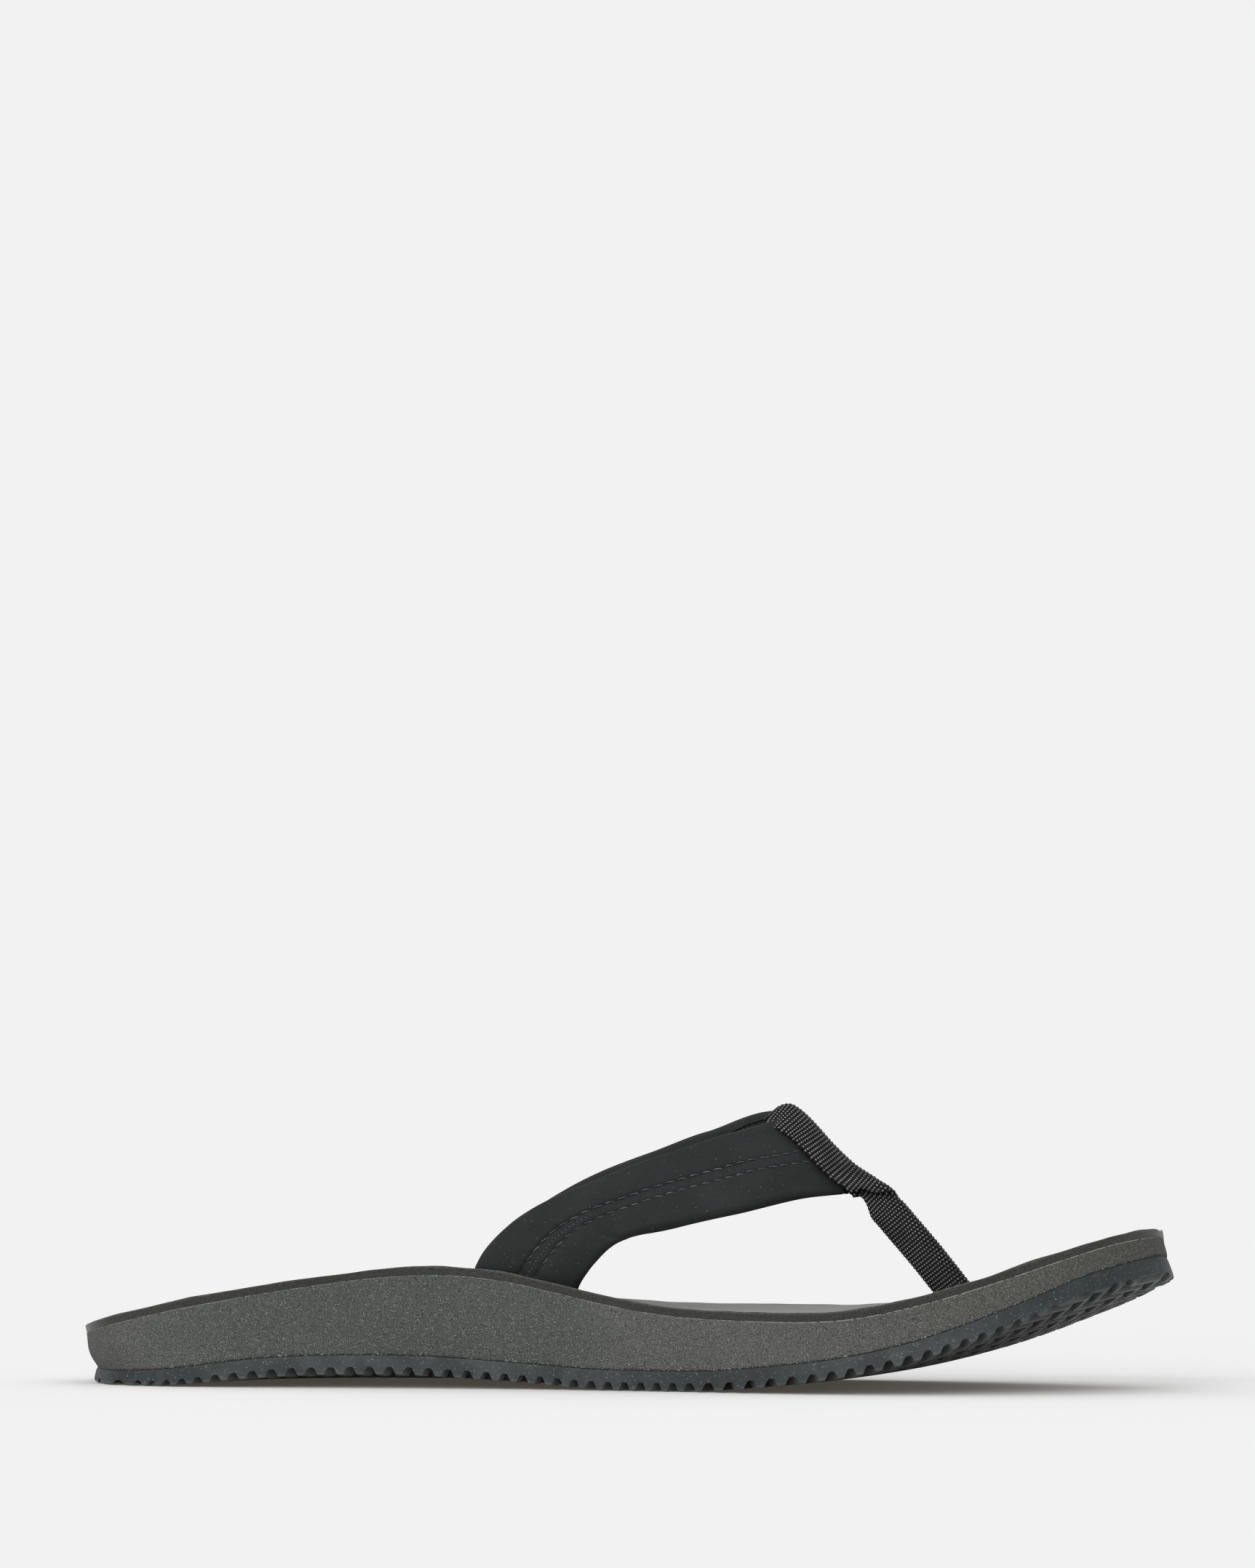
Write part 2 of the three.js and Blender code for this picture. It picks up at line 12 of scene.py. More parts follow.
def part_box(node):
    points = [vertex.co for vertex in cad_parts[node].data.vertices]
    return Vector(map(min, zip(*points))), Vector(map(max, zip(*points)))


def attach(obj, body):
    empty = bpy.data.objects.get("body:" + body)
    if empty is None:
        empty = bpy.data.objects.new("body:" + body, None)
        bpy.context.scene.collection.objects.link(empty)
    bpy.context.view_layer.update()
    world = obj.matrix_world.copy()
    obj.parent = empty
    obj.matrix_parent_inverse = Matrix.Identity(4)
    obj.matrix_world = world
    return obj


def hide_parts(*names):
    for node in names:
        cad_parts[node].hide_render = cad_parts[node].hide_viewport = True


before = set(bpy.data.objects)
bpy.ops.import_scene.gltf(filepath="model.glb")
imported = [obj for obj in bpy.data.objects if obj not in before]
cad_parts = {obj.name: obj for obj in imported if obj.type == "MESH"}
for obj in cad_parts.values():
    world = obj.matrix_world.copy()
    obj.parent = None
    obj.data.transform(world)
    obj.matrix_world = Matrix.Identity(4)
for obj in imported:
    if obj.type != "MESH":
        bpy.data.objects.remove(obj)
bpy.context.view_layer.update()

MM = 0.001
random = np.random.default_rng(11)


# ---- Camera, light and floor ----

LENS, SENSOR, FAR = 213.6, 36, 100
LOOK_AT = (0.0007, -0.0012, 0.155)
CAMERA_TURN, CAMERA_DISTANCE, CAMERA_HEIGHT = math.radians(13), 2.4, 0.092

PALE = 0.888  # linear radiance of the floor and of the background behind it
FLOOR_GLOW = (0.060, 0.052, 0.041)  # the part that comes through the floor, which keeps shadows warm and soft
FLOOR_LIGHT, FRONT_LIGHT = 1.24, 2.4  # light that falls on the open floor, and the front lamp's own
FLOOR_REACH, FLOOR_DROP = 40, 0.05 * MM  # from the middle to the floor's edges, and down from the tread


def aim(thing, place, target):
    thing.location = place
    thing.rotation_euler = (Vector(target) - Vector(place)).to_track_quat("-Z", "Y").to_euler()


def add_to_scene(name, data):
    made = bpy.data.objects.new(name, data)
    bpy.context.scene.collection.objects.link(made)
    return made


def add_camera():
    """The photo's view: from the inner side, turned a little towards the toe, almost level with the sole."""
    data = bpy.data.cameras.new("camera")
    data.lens, data.sensor_width, data.clip_end = LENS, SENSOR, FAR
    camera = add_to_scene("camera", data)
    away = Vector((math.sin(CAMERA_TURN), -math.cos(CAMERA_TURN), 0)) * CAMERA_DISTANCE
    aim(camera, Vector((*LOOK_AT[:2], CAMERA_HEIGHT)) + away, LOOK_AT)
    bpy.context.scene.camera = camera


def add_light():
    """An even pale surround, a very soft light from above and a low one from the camera's side."""
    world = bpy.data.worlds.new("surround")
    world.use_nodes = True
    world.node_tree.nodes["Background"].inputs["Color"].default_value = (PALE, PALE, PALE, 1)
    bpy.context.scene.world = world
    above, above_falls = soft_light("light_above", toward=(0.1, -0.3, 1.0), spread=70)
    front, front_falls = soft_light("light_in_front", toward=(-0.15, -1.0, 0.33), spread=36)
    front.energy = FRONT_LIGHT
    above.energy = (math.pi * (FLOOR_LIGHT - PALE) - FRONT_LIGHT * front_falls) / above_falls


def soft_light(name, toward, spread):
    """A sun with a wide disc, and the share of its light that falls on level ground."""
    data = bpy.data.lights.new(name, "SUN")
    data.angle = math.radians(spread)
    aim(add_to_scene(name, data), toward, (0, 0, 0))
    return data, Vector(toward).normalized().z


add_camera()
add_light()
bpy.context.scene.view_settings.view_transform = "Standard"


# ---- Numbers ----

def smoothstep(value, low, high):
    t = np.clip((value - low) / (high - low), 0, 1)
    return t * t * (3 - 2 * t)


def between(value, rise, fall):
    """0, then up to 1 over the first range, and back to 0 over the second."""
    return smoothstep(value, *rise) * (1 - smoothstep(value, *fall))


def unit(vectors):
    return vectors / np.linalg.norm(vectors, axis=-1, keepdims=True)


def travelled(points):
    """Distance along a chain of points."""
    steps = np.linalg.norm(np.diff(points, axis=0), axis=1)
    return np.concatenate([[0], np.cumsum(steps)])


def curve_through(values, knots, at):
    """A smooth curve through values, one per knot along axis 0."""
    tangents = np.gradient(values, knots, axis=0)
    k = np.clip(np.searchsorted(knots, at, side="right") - 1, 0, len(knots) - 2)
    shape = (-1,) + (1,) * (values.ndim - 1)
    h = (knots[k + 1] - knots[k]).reshape(shape)
    t = ((at - knots[k]).reshape(shape)) / h
    return ((2 * t**3 - 3 * t**2 + 1) * values[k] + (t**3 - 2 * t**2 + t) * h * tangents[k]
            + (3 * t**2 - 2 * t**3) * values[k + 1] + (t**3 - t**2) * h * tangents[k + 1])


def smoothed_round(values, width):
    """Values round a closed loop, smoothed over so many of them."""
    reach = int(3 * width)
    weights = np.exp(-0.5 * (np.arange(-reach, reach + 1) / width) ** 2)
    weights /= weights.sum()
    return sum(w * np.roll(values, k, axis=0) for k, w in zip(range(-reach, reach + 1), weights))


def ripple(count, width):
    """A smooth random row of numbers round a closed loop, about 1 high."""
    row = smoothed_round(random.standard_normal(count), width)
    return row / row.std()


# ---- Meshes ----

def mesh_object(name, points, faces, sharp=40, weld=False):
    """An object of its own; weld joins points that share a place."""
    mesh = bpy.data.meshes.new(name)
    mesh.from_pydata(np.asarray(points).tolist(), [], faces)
    work = bmesh.new()
    work.from_mesh(mesh)
    if weld:
        bmesh.ops.remove_doubles(work, verts=work.verts, dist=0.002 * MM)
        bmesh.ops.dissolve_degenerate(work, edges=work.edges, dist=0.001 * MM)
    bmesh.ops.recalc_face_normals(work, faces=work.faces)
    work.to_mesh(mesh)
    work.free()
    finish_mesh(mesh, sharp)
    return add_to_scene(name, mesh)


def finish_mesh(mesh, sharp=40):
    mesh.polygons.foreach_set("use_smooth", [True] * len(mesh.polygons))
    mesh.set_sharp_from_angle(angle=math.radians(sharp))
    mesh.update()


def side_faces(rings, count, first=0):
    """Quads between rings of points."""
    faces = []
    for start in range(first, first + (rings - 1) * count, count):
        for j in range(count):
            a, b = start + j, start + (j + 1) % count
            faces.append((a, b, b + count, a + count))
    return faces


def tube_faces(rings, count, first):
    """Quads between rings of points, and a face over each end."""
    last = first + (rings - 1) * count
    ends = [tuple(range(first + count - 1, first - 1, -1)), tuple(range(last, last + count))]
    return side_faces(rings, count, first) + ends


def loft(name, rings, sharp=40):
    """A closed body through rings of points, an array of rings x points x 3."""
    return lofts(name, [rings], sharp)


def lofts(name, bodies, sharp=40):
    """Several closed bodies in one object."""
    points, faces, first = [], [], 0
    for rings in bodies:
        points.append(rings.reshape(-1, 3))
        faces += tube_faces(*rings.shape[:2], first)
        first += rings.shape[0] * rings.shape[1]
    return mesh_object(name, np.concatenate(points), faces, sharp)


def subtract(thing, cutter, sharp=40):
    cut = thing.modifiers.new("cut", "BOOLEAN")
    cut.operation, cut.solver, cut.object = "DIFFERENCE", "MANIFOLD", cutter
    bpy.context.view_layer.update()
    ready = thing.evaluated_get(bpy.context.evaluated_depsgraph_get())
    mesh = bpy.data.meshes.new_from_object(ready)
    thing.modifiers.clear()
    thing.data = mesh
    mesh.name = thing.name
    bpy.data.objects.remove(cutter)
    finish_mesh(mesh, sharp)


def corners(thing):
    points = np.empty(len(thing.data.vertices) * 3)
    thing.data.vertices.foreach_get("co", points)
    return points.reshape(-1, 3)


def paint(thing, name, values):
    """A number per vertex that the material reads."""
    attribute = thing.data.attributes.new(name, "FLOAT", "POINT")
    attribute.data.foreach_set("value", np.asarray(values, np.float32).ravel())


def place(piece, node, slot, look=None, fill=None):
    """Puts a piece in a CAD node's place, with its look. fill is not used."""
    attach(piece, "root")
    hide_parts(node)
    piece.data.materials.clear()
    piece.data.materials.append(LOOKS[look or slot])


# ---- Reading the frame ----

def loft_rings(node, count, towards):
    """The rings of a lofted CAD node, corner by corner, from the end that lies furthest one way."""
    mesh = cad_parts[node].data
    raw = np.array([v.co for v in mesh.vertices])
    _, first, index = np.unique(np.round(raw, 6), axis=0, return_index=True, return_inverse=True)
    points = raw[first]
    triangles = index.ravel()[np.array([p.vertices for p in mesh.polygons])]
    linked = [set() for _ in points]
    for triangle in triangles.tolist():
        for a in triangle:
            linked[a].update(triangle)
    edge = {int(a) for a in np.argsort(points @ np.array(towards))[-count:]}
    level = {}
    while edge:
        depth = len(set(level.values()))
        level.update(dict.fromkeys(edge, depth))
        edge = {b for a in edge for b in linked[a]} - level.keys()
    beside = [set() for _ in points]
    for triangle in triangles.tolist():
        if len({level[a] for a in triangle}) == 2:
            for a in triangle:
                beside[a].update(b for b in triangle if b != a and level[b] == level[a])
    rings = []
    for k in range(max(level.values()) + 1):
        start = min(a for a in level if level[a] == k)
        ring = [start, min(beside[start])]
        while len(ring) < count:
            ring.append(next(b for b in sorted(beside[ring[-1]]) if b != ring[-2]))
        if rings:
            ring = matched(rings[-1], ring, points, linked)
        rings.append(ring)
    return points[np.array(rings)]


def matched(before, ring, points, linked):
    """The ring turned or reversed so that each corner follows the corner before it."""
    turns = [way[k:] + way[:k] for way in (ring, ring[::-1]) for k in range(len(ring))]
    turns = [turn for turn in turns if all(b in linked[a] for a, b in zip(before, turn))]
    shape = points[before] - points[before].mean(0)
    return min(turns, key=lambda turn: np.abs(points[turn] - points[turn].mean(0) - shape).sum())


def tree_of(node):
    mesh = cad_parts[node].data
    return BVHTree.FromPolygons([v.co for v in mesh.vertices], [p.vertices for p in mesh.polygons])


# ---- The sole's outline ----

SPINE = (-0.108, 0.098)  # the middle line that the sole's sections fan out from
OUTLINE_STEP = 1.6 * MM
TOE_RAYS, HEEL_RAYS = 84, 70


def fan():
    """Middle points and outward directions round the sole: inner side, toe, outer side, heel."""
    side = np.linspace(*SPINE, int((SPINE[1] - SPINE[0]) / OUTLINE_STEP))
    along = np.concatenate([side, np.full(TOE_RAYS, SPINE[1]), side[::-1], np.full(HEEL_RAYS, SPINE[0])])
    right = math.pi / 2
    angle = np.concatenate([np.full(len(side), -right), np.linspace(-right, right, TOE_RAYS + 2)[1:-1],
                            np.full(len(side), right), np.linspace(right, 3 * right, HEEL_RAYS + 2)[1:-1]])
    return np.column_stack([along, np.zeros(len(along))]), np.column_stack([np.cos(angle), np.sin(angle)])


MIDDLES, OUTWARD = fan()
AROUND = len(MIDDLES)
OUTWARD_3D = np.column_stack([OUTWARD, np.zeros(AROUND)])
WALL_SHARES = np.linspace(0, 1, 9)
READ_STEP = 0.15 * MM  # between the heights at which a CAD wall is read
READ_FROM = 0.12  # how far out the reading starts


def side_walls(node, keep=1.0):
    """The node's side wall round the sole, from its upper edge down: points x levels x 3, smoothed.
    keep is the share of the height that is read, where the lower edge is notched."""
    tree = tree_of(node)
    low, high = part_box(node)
    heights = np.arange(low.z + READ_STEP / 3, high.z, READ_STEP)
    walls = np.empty((AROUND, len(WALL_SHARES), 3))
    for i, (middle, outward) in enumerate(zip(MIDDLES, OUTWARD)):
        back, far = Vector((*-outward, 0)), middle + outward * READ_FROM
        hits = [tree.ray_cast(Vector((*far, z)), back, READ_FROM)[3] for z in heights]
        found = np.array([h is not None for h in hits])
        radius = np.array([READ_FROM - h if h is not None else 0 for h in hits])
        upper = np.argmax(np.where(found, radius + heights, -1))
        lower = np.argmax(np.where(found, radius - heights, -1))
        if keep < 1:
            lower = np.searchsorted(heights, heights[upper] - OUTSOLE_DROP * keep)
        zs = heights[upper] + (heights[lower] - heights[upper]) * WALL_SHARES
        rs = np.interp(zs, heights[found], radius[found])
        walls[i, :, :2] = middle + outward * rs[:, None]
        walls[i, :, 2] = zs
    return smoothed_round(walls, 2.4)


class Sheet:
    """A height for each place on the sole, from the heights round a rim: what a layer's face is.
    The inner side's height fades across faster than evenly, as in the CAD, and the face is cupped."""

    FALL = 1.5

    def __init__(self, rim, cup=None):
        toe, heel = np.argmax(rim[:, 0]), np.argmin(rim[:, 0])
        inner = np.roll(rim, -heel, axis=0)[: (toe - heel) % len(rim) + 1]
        outer = np.roll(rim, -toe, axis=0)[: (heel - toe) % len(rim) + 1][::-1]
        self.inner, self.outer = inner[np.argsort(inner[:, 0])], outer[np.argsort(outer[:, 0])]
        self.cup = cup

    def sides(self, x, axis):
        """Where the inner and the outer side are at x, along another axis."""
        return (np.interp(x, side[:, 0], side[:, axis]) for side in (self.inner, self.outer))

    def __call__(self, x, y):
        inner, outer = self.sides(x, 1)
        t = np.clip((2 * y - inner - outer) / np.maximum(outer - inner, 1e-6), -1, 1)
        inner, outer = self.sides(x, 2)
        height = outer + (inner - outer) * ((1 - t) / 2) ** self.FALL
        if self.cup is not None:
            height = height - np.interp(x, *self.cup) * (1 - t * t)
        return height


def cup_of(sheet, node):
    """How far the node's upper face dips along its middle."""
    tree = tree_of(node)
    xs = np.linspace(-0.138, 0.136, 70)
    dips = []
    for x in xs:
        y = sum(sheet.sides(x, 1)) / 2
        hit = tree.ray_cast(Vector((x, y, 0.1)), Vector((0, 0, -1)))[0]
        dips.append(float(sheet(x, y)) - hit.z if hit else 0)
    smooth = np.convolve(np.pad(dips, 3, mode="edge"), np.ones(7) / 7, mode="valid")
    return xs, np.maximum(smooth, 0)


OUTSOLE_DROP = 4.7 * MM  # height of the outsole's side wall
OUTSOLE_READ = 0.5  # the part of it above the notches

footbed_wall = side_walls("footbed")
midsole_wall = side_walls("midsole")
outsole_wall = side_walls("outsole", OUTSOLE_READ)
outsole_drop = (outsole_wall[:, 0] - outsole_wall[:, -1]) / OUTSOLE_READ
outsole_wall = outsole_wall[:, :1] - outsole_drop[:, None] * WALL_SHARES[None, :, None]
outsole_wall[:, -1, 2] = np.maximum(outsole_wall[:, -1, 2], 0)

# Glued layers meet: each joint closes halfway between the two layers' edges.
TOP_RIM = footbed_wall[:, 0]
UPPER_JOINT = (footbed_wall[:, -1] + midsole_wall[:, 0]) / 2
LOWER_JOINT = (midsole_wall[:, -1] + outsole_wall[:, 0]) / 2
BASE_RIM = outsole_wall[:, -1]

heel_end = 1 - smoothstep(LOWER_JOINT[:, 0], -0.140, -0.085)
LOWER_JOINT[:, 2] += (0.35 - 1.6 * heel_end) * MM  # the rubber is thinnest at the heel
# How far the underside bulges down under the toe: x, and depth along the middle.
TOE_CROWN = (np.array([-0.2, 0.04, 0.075, 0.11, 0.135, 0.145]), np.array([0, 0, 0.6, 0.9, 0.6, 0]) * MM)

foot_top = Sheet(TOP_RIM, cup_of(Sheet(TOP_RIM), "footbed"))
foot_low = Sheet(UPPER_JOINT, foot_top.cup)
mid_low = Sheet(LOWER_JOINT)
base = Sheet(BASE_RIM, TOE_CROWN)


# ---- The sole's layers ----

FACE_SHARES = np.concatenate([np.linspace(0, 0.9, 19), [0.93, 0.955, 0.975]])
WALL_LOOPS = 12
HEEL_SWELL = 0.8 * MM
END_RIBS = (0.16 * MM, 3.2 * MM)  # height and pitch of the upright ribs at the outsole's two ends

# The tread, in mm: the trenches' spacing and section, then the length, swing and first crest of their wave.
GROOVE_PITCH, GROOVE_DEPTH, GROOVE_MOUTH, GROOVE_ROOF = 4.9, 2.0, 3.5, 1.4
WAVE_LENGTH, WAVE_SWING, WAVE_CREST = 20, 2.3, -50
HEEL_FRAME = (-141.8, -1.189)  # mm, the heel's place: the tread is laid out from it


def face_loops(rim, height):
    """Loops of points on a layer's upper or lower face, from the middle line out to near its rim."""
    loops = []
    for share in FACE_SHARES:
        flat = MIDDLES + (rim[:, :2] - MIDDLES) * share
        loops.append(np.column_stack([flat, height(*flat.T)]))
    return loops


def edge_loops(rim, height, radius, upper=True):
    """Loops round a rounded rim, from its face to its wall."""
    loops = []
    for angle in np.radians([0, 22, 45, 68, 90]):
        loop = rim - OUTWARD_3D * (radius * (1 - math.sin(angle)))
        fall = radius * (1 - math.cos(angle))
        loop[:, 2] = height(*loop[:, :2].T) + (-fall if upper else fall)
        loops.append(loop)
    return loops if upper else loops[::-1]


def wall_loops(upper, lower, wall, bulge=None):
    """Loops down a side wall between two edges, with the shape of the CAD's wall."""
    straight = wall[:, :1] + (wall[:, -1:] - wall[:, :1]) * WALL_SHARES[None, :, None]
    hollow = (wall - straight).transpose(1, 0, 2)
    shares = np.linspace(0, 1, WALL_LOOPS + 2)[1:-1]
    loops = []
    for share, dent in zip(shares, curve_through(hollow, WALL_SHARES, shares)):
        loop = upper + (lower - upper) * share + dent
        if bulge is not None:
            loop = loop + OUTWARD_3D * bulge(share)[:, None]
        loops.append(loop)
    return loops


def layer_object(name, top, low, wall, bulge=None):
    """A closed layer between two faces, each given by its rim, its height and the radius of its edge."""
    upper, lower = edge_loops(*top), edge_loops(*low, upper=False)
    sides = wall_loops(upper[-1], lower[0], wall, bulge)
    loops = face_loops(*top[:2]) + upper + sides + lower + face_loops(*low[:2])[::-1]
    return mesh_object(name, np.concatenate(loops), side_faces(len(loops), AROUND), weld=True)


def footbed_layer():
    """The thin top layer: its cut edge is a little rough, as trimmed foam is."""
    rough = 0.10 * MM * ripple(AROUND, 1.6) + 0.12 * MM * ripple(AROUND, 5)
    rim = TOP_RIM.copy()
    rim[:, :2] += OUTWARD * (0.08 * MM * ripple(AROUND, 2))[:, None]
    reach = np.linalg.norm(rim[:, :2] - MIDDLES, axis=1)

    def height(x, y):
        out = np.linalg.norm(np.column_stack([x, y]) - MIDDLES, axis=1)
        return foot_top(x, y) + rough * smoothstep(out / reach, 0.86, 1.0)

    rim[:, 2] = height(*rim[:, :2].T)
    return layer_object("footbed_top_layer", (rim, height, 0.45 * MM), (UPPER_JOINT, foot_low, 0.12 * MM),
                        footbed_wall)


def midsole_layer():
    """The foam block: its wall is a little uneven, and swells at the heel."""
    swell, twist = (0.06 * MM * ripple(AROUND, 8) for _ in range(2))
    swell = swell + HEEL_SWELL * smoothstep(-UPPER_JOINT[:, 0], 0.105, 0.135)

    def bulge(share):
        return swell * math.sin(math.pi * share ** 1.25) + twist * math.sin(2 * math.pi * share)

    return layer_object("midsole_block", (UPPER_JOINT, foot_low, 0.25 * MM),
                        (LOWER_JOINT, mid_low, 0.35 * MM), midsole_wall, bulge)


def outsole_blank():
    """The rubber before its tread is cut."""
    ribs = upright_ribs()

    def bulge(share):
        return ribs * min(1, 6 * share) * min(1, 6 * (1 - share))

    return layer_object("outsole_tread", (LOWER_JOINT, mid_low, 0.3 * MM), (BASE_RIM, base, 0.35 * MM),
                        outsole_wall, bulge)


def upright_ribs():
    """Fine upright ribs moulded in the outsole's wall at the back of the heel and the tip of the toe."""
    way = travelled(LOWER_JOINT)
    at_ends = smoothstep(LOWER_JOINT[:, 0], 0.126, 0.134) + smoothstep(-LOWER_JOINT[:, 0], 0.132, 0.138)
    height, pitch = END_RIBS
    return height * np.cos(2 * math.pi * way / pitch) * at_ends


def wave(y):
    """How far a tread groove leads or lags at a place across the sole, in mm: a rounded zigzag."""
    phase = 2 * math.pi * (y - WAVE_CREST) / WAVE_LENGTH
    return -WAVE_SWING * (np.cos(phase) + np.cos(3 * phase) / 9) / (10 / 9)


def groove_cutters():
    """Trenches across the whole underside, one behind the other, shallower under the heel and the toe."""
    shift_x, shift_y = HEEL_FRAME
    y = np.linspace(-75, 75, 151)
    roof, mouth = GROOVE_ROOF / 2, GROOVE_MOUTH / 2
    bodies = []
    for x0 in np.arange(3.4, 290, GROOVE_PITCH):
        x = x0 - wave(y) + shift_x
        depth = GROOVE_DEPTH * (0.55 + 0.45 * smoothstep(x0, 12, 62) - 0.4 * smoothstep(x0, 215, 262))
        slope = (mouth - roof) / depth
        half = [(mouth + slope, -1), (mouth, 0), (roof + 0.12, depth - 0.25), (roof - 0.2, depth)]
        section = [(-across, up) for across, up in half] + half[::-1]
        lines = []
        for across, up in section:
            at = (x + across) * MM, (y + shift_y) * MM
            lines.append(np.column_stack([*at, base(*at) + up * MM]))
        bodies.append(np.stack(lines, axis=1))
    return lofts("grooves", bodies)


# ---- Straps ----

# Millimetres, measured across a strap from its seam, and outwards from its middle surface.
STRAP_EDGE, EDGE_ROUND = 13.5, 2.3  # half the width, and the radius of the turned-down edges
TAPE_LOW, TAPE_HIGH, TAPE_HALF = 1.7, 2.8, 1.6  # the CAD seam tape's section
SEAM_BAND = (1.45, 1.3)  # half the raised band's width at the slot and at the webbing
STITCH_ROWS = (2.1, 1.9)  # out to each row of stitches, at the same two ends
PANEL_FACE, PANEL_THICK = 2.5, 0.8
LEAN_FORWARD, BASE_BACK, SLOT_WIDER = 2.1, 0.8, 1.5  # how the inner strap's cloth differs from the CAD's line
REAR_RISE, MIDDLE_SAG = 2.3, 0.8  # and the outer strap's

SIDES = ((-1, "rear"), (1, "front"))
STRAP_STEP, BAND_STEP = 0.45 * MM, 0.12 * MM  # between sections
STITCH_PITCH, RUNG_PITCH, TWILL_PITCH = 3.2 * MM, 1.2 * MM, 0.9 * MM
SWAY = 17 * MM  # how slowly a panel's puffiness varies
BAND_POINTS = 13


class Strap:
    """A strap's middle line, and the directions across it (to the front) and outwards, from its CAD seam tape."""

    def __init__(self, side):
        self.side = side
        rings = self.in_order(loft_rings(f"{side}_strap_seam_tape", 4, (0, 0, -1)))
        way = travelled(rings.mean(1))
        self.length = way[-1]
        self.way = np.append(np.arange(0, self.length, STRAP_STEP), self.length)
        self.share = self.way / self.length
        fine = curve_through(rings, way, self.way)
        low, high = fine[:, :2].mean(1), fine[:, 2:].mean(1)
        self.out = (high - low) / (TAPE_HIGH - TAPE_LOW)
        self.middle = low - self.out * TAPE_LOW
        self.along = (fine[:, 1] - fine[:, 0] + fine[:, 2] - fine[:, 3]) / (4 * TAPE_HALF)
        self.settle()

    def in_order(self, rings):
        """The rings with their corners in one order: low rear, low front, high front, high rear."""
        k = len(rings) // 2
        ring = rings[k] - rings[k].mean(0)
        outward = unit(np.array([0, 1 if self.side == "lateral" else -1, 1.2]))
        wide = [(i, (i + 1) % 4) for i in range(4) if np.linalg.norm(ring[i] - ring[(i + 1) % 4]) > 2 * MM]
        low, high = sorted(wide, key=lambda pair: (ring[pair[0]] + ring[pair[1]]) @ outward)
        low, high = (sorted(pair, key=lambda i: ring[i, 0]) for pair in (low, high))
        return rings[:, [*low, *high[::-1]]]

    def settle(self):
        """Moves the line from the CAD's to the cloth's. The inner strap leans forward in its middle, and is
        further back and wider near its slot. The outer strap hangs lower in its middle, and its rear edge
        stands higher at the webbing."""
        share = self.share
        if self.side == "medial":
            lean = LEAN_FORWARD * between(share, (0.30, 0.50), (0.66, 0.92))
            lean -= BASE_BACK * (1 - smoothstep(share, 0.07, 0.22))
            wider = SLOT_WIDER / 2 * between(share, (0.08, 0.20), (0.33, 0.46))
            self.middle += self.along * (lean + wider)[:, None]
            self.along *= (1 + wider / STRAP_EDGE)[:, None]
        else:
            rise = smoothstep(share, 0.76, 0.93) * (1 - 0.25 * smoothstep(share, 0.95, 1)) * REAR_RISE / 2 * MM
            self.middle[:, 2] += rise - MIDDLE_SAG * MM * between(share, (0.22, 0.38), (0.60, 0.76))
            self.along[:, 2] -= rise / STRAP_EDGE

    def read_at(self, way):
        """The middle line and the two directions at other distances along the strap."""
        return [curve_through(line, self.way, way) for line in (self.middle, self.along, self.out)]

    def resampled(self, step):
        """The same strap, with sections at another spacing."""
        fine = copy.copy(self)
        fine.way = np.arange(0, self.length, step)
        fine.share = fine.way / self.length
        fine.middle, fine.along, fine.out = self.read_at(fine.way)
        return fine

    def surface(self, section, steps=slice(None)):
        """Points for a section of [across, lift] in mm, one or one per step: steps x points x 3."""
        across, lift = section[..., 0], section[..., 1]
        middle, along, out = (a[steps][:, None] for a in (self.middle, self.along, self.out))
        return middle + along * across[..., None] + out * lift[..., None]


def narrowed(strap, ends):
    """A measure along the strap, from its size at the slot to its size at the webbing."""
    return ends[0] + (ends[1] - ends[0]) * smoothstep(strap.share, 0.25, 0.95)


def panel_lift(strap, across, side):
    """Height of a panel's outer face, in mm: steps x points. It puffs out, and its stitches draw it down."""
    a = np.abs(across)[None, :]
    row = narrowed(strap, STITCH_ROWS)[:, None]
    rise = np.clip((a - row) / (STRAP_EDGE - EDGE_ROUND - row), 0, 1)
    puff = 0.62 * between(strap.share, (0.10, 0.24), (0.74, 0.90))
    puff = puff * (1 + 0.12 * np.sin(strap.way / SWAY + side))
    swell = puff[:, None] * np.sin(math.pi * rise ** 0.75) ** 0.8
    seam = -0.42 * np.exp(-(((a - row) / 0.5) ** 2))
    beat = np.cos(2 * math.pi * strap.way / STITCH_PITCH)[:, None]
    pulled = 0.07 * np.exp(-(((a - row) / 1.6) ** 2)) * beat
    sewn = (strap.share > 0.16)[:, None]
    return PANEL_FACE + swell + (seam + pulled) * sewn + fold_dent(strap, a, side)


def fold_dent(strap, a, side):
    """The soft kink where the inner strap's front half bends over, and slacker waves along both."""
    slack = 0.07 * np.sin(strap.way[:, None] / (6.1 * MM) + a * 0.35) * smoothstep(a, 3, 9)
    if strap.side != "medial" or side < 0:
        return slack
    fold = (strap.way[:, None] - (0.335 * strap.length + (STRAP_EDGE - a) * 0.55 * MM)) / MM
    crease = -0.85 * np.exp(-((fold / 1.5) ** 2)) + 0.35 * np.exp(-(((fold - 3.4) / 2.2) ** 2))
    return slack + crease * smoothstep(a, 7.5, 12.5)


PANEL_FLAT = np.concatenate([[0.12, 0.7], np.linspace(1.2, 3.4, 10), np.linspace(4.2, 11.1, 11)])
PANEL_TURN = np.radians([78, 62, 46, 30, 14, -2, -18, -34, -50, -62])[None, :]


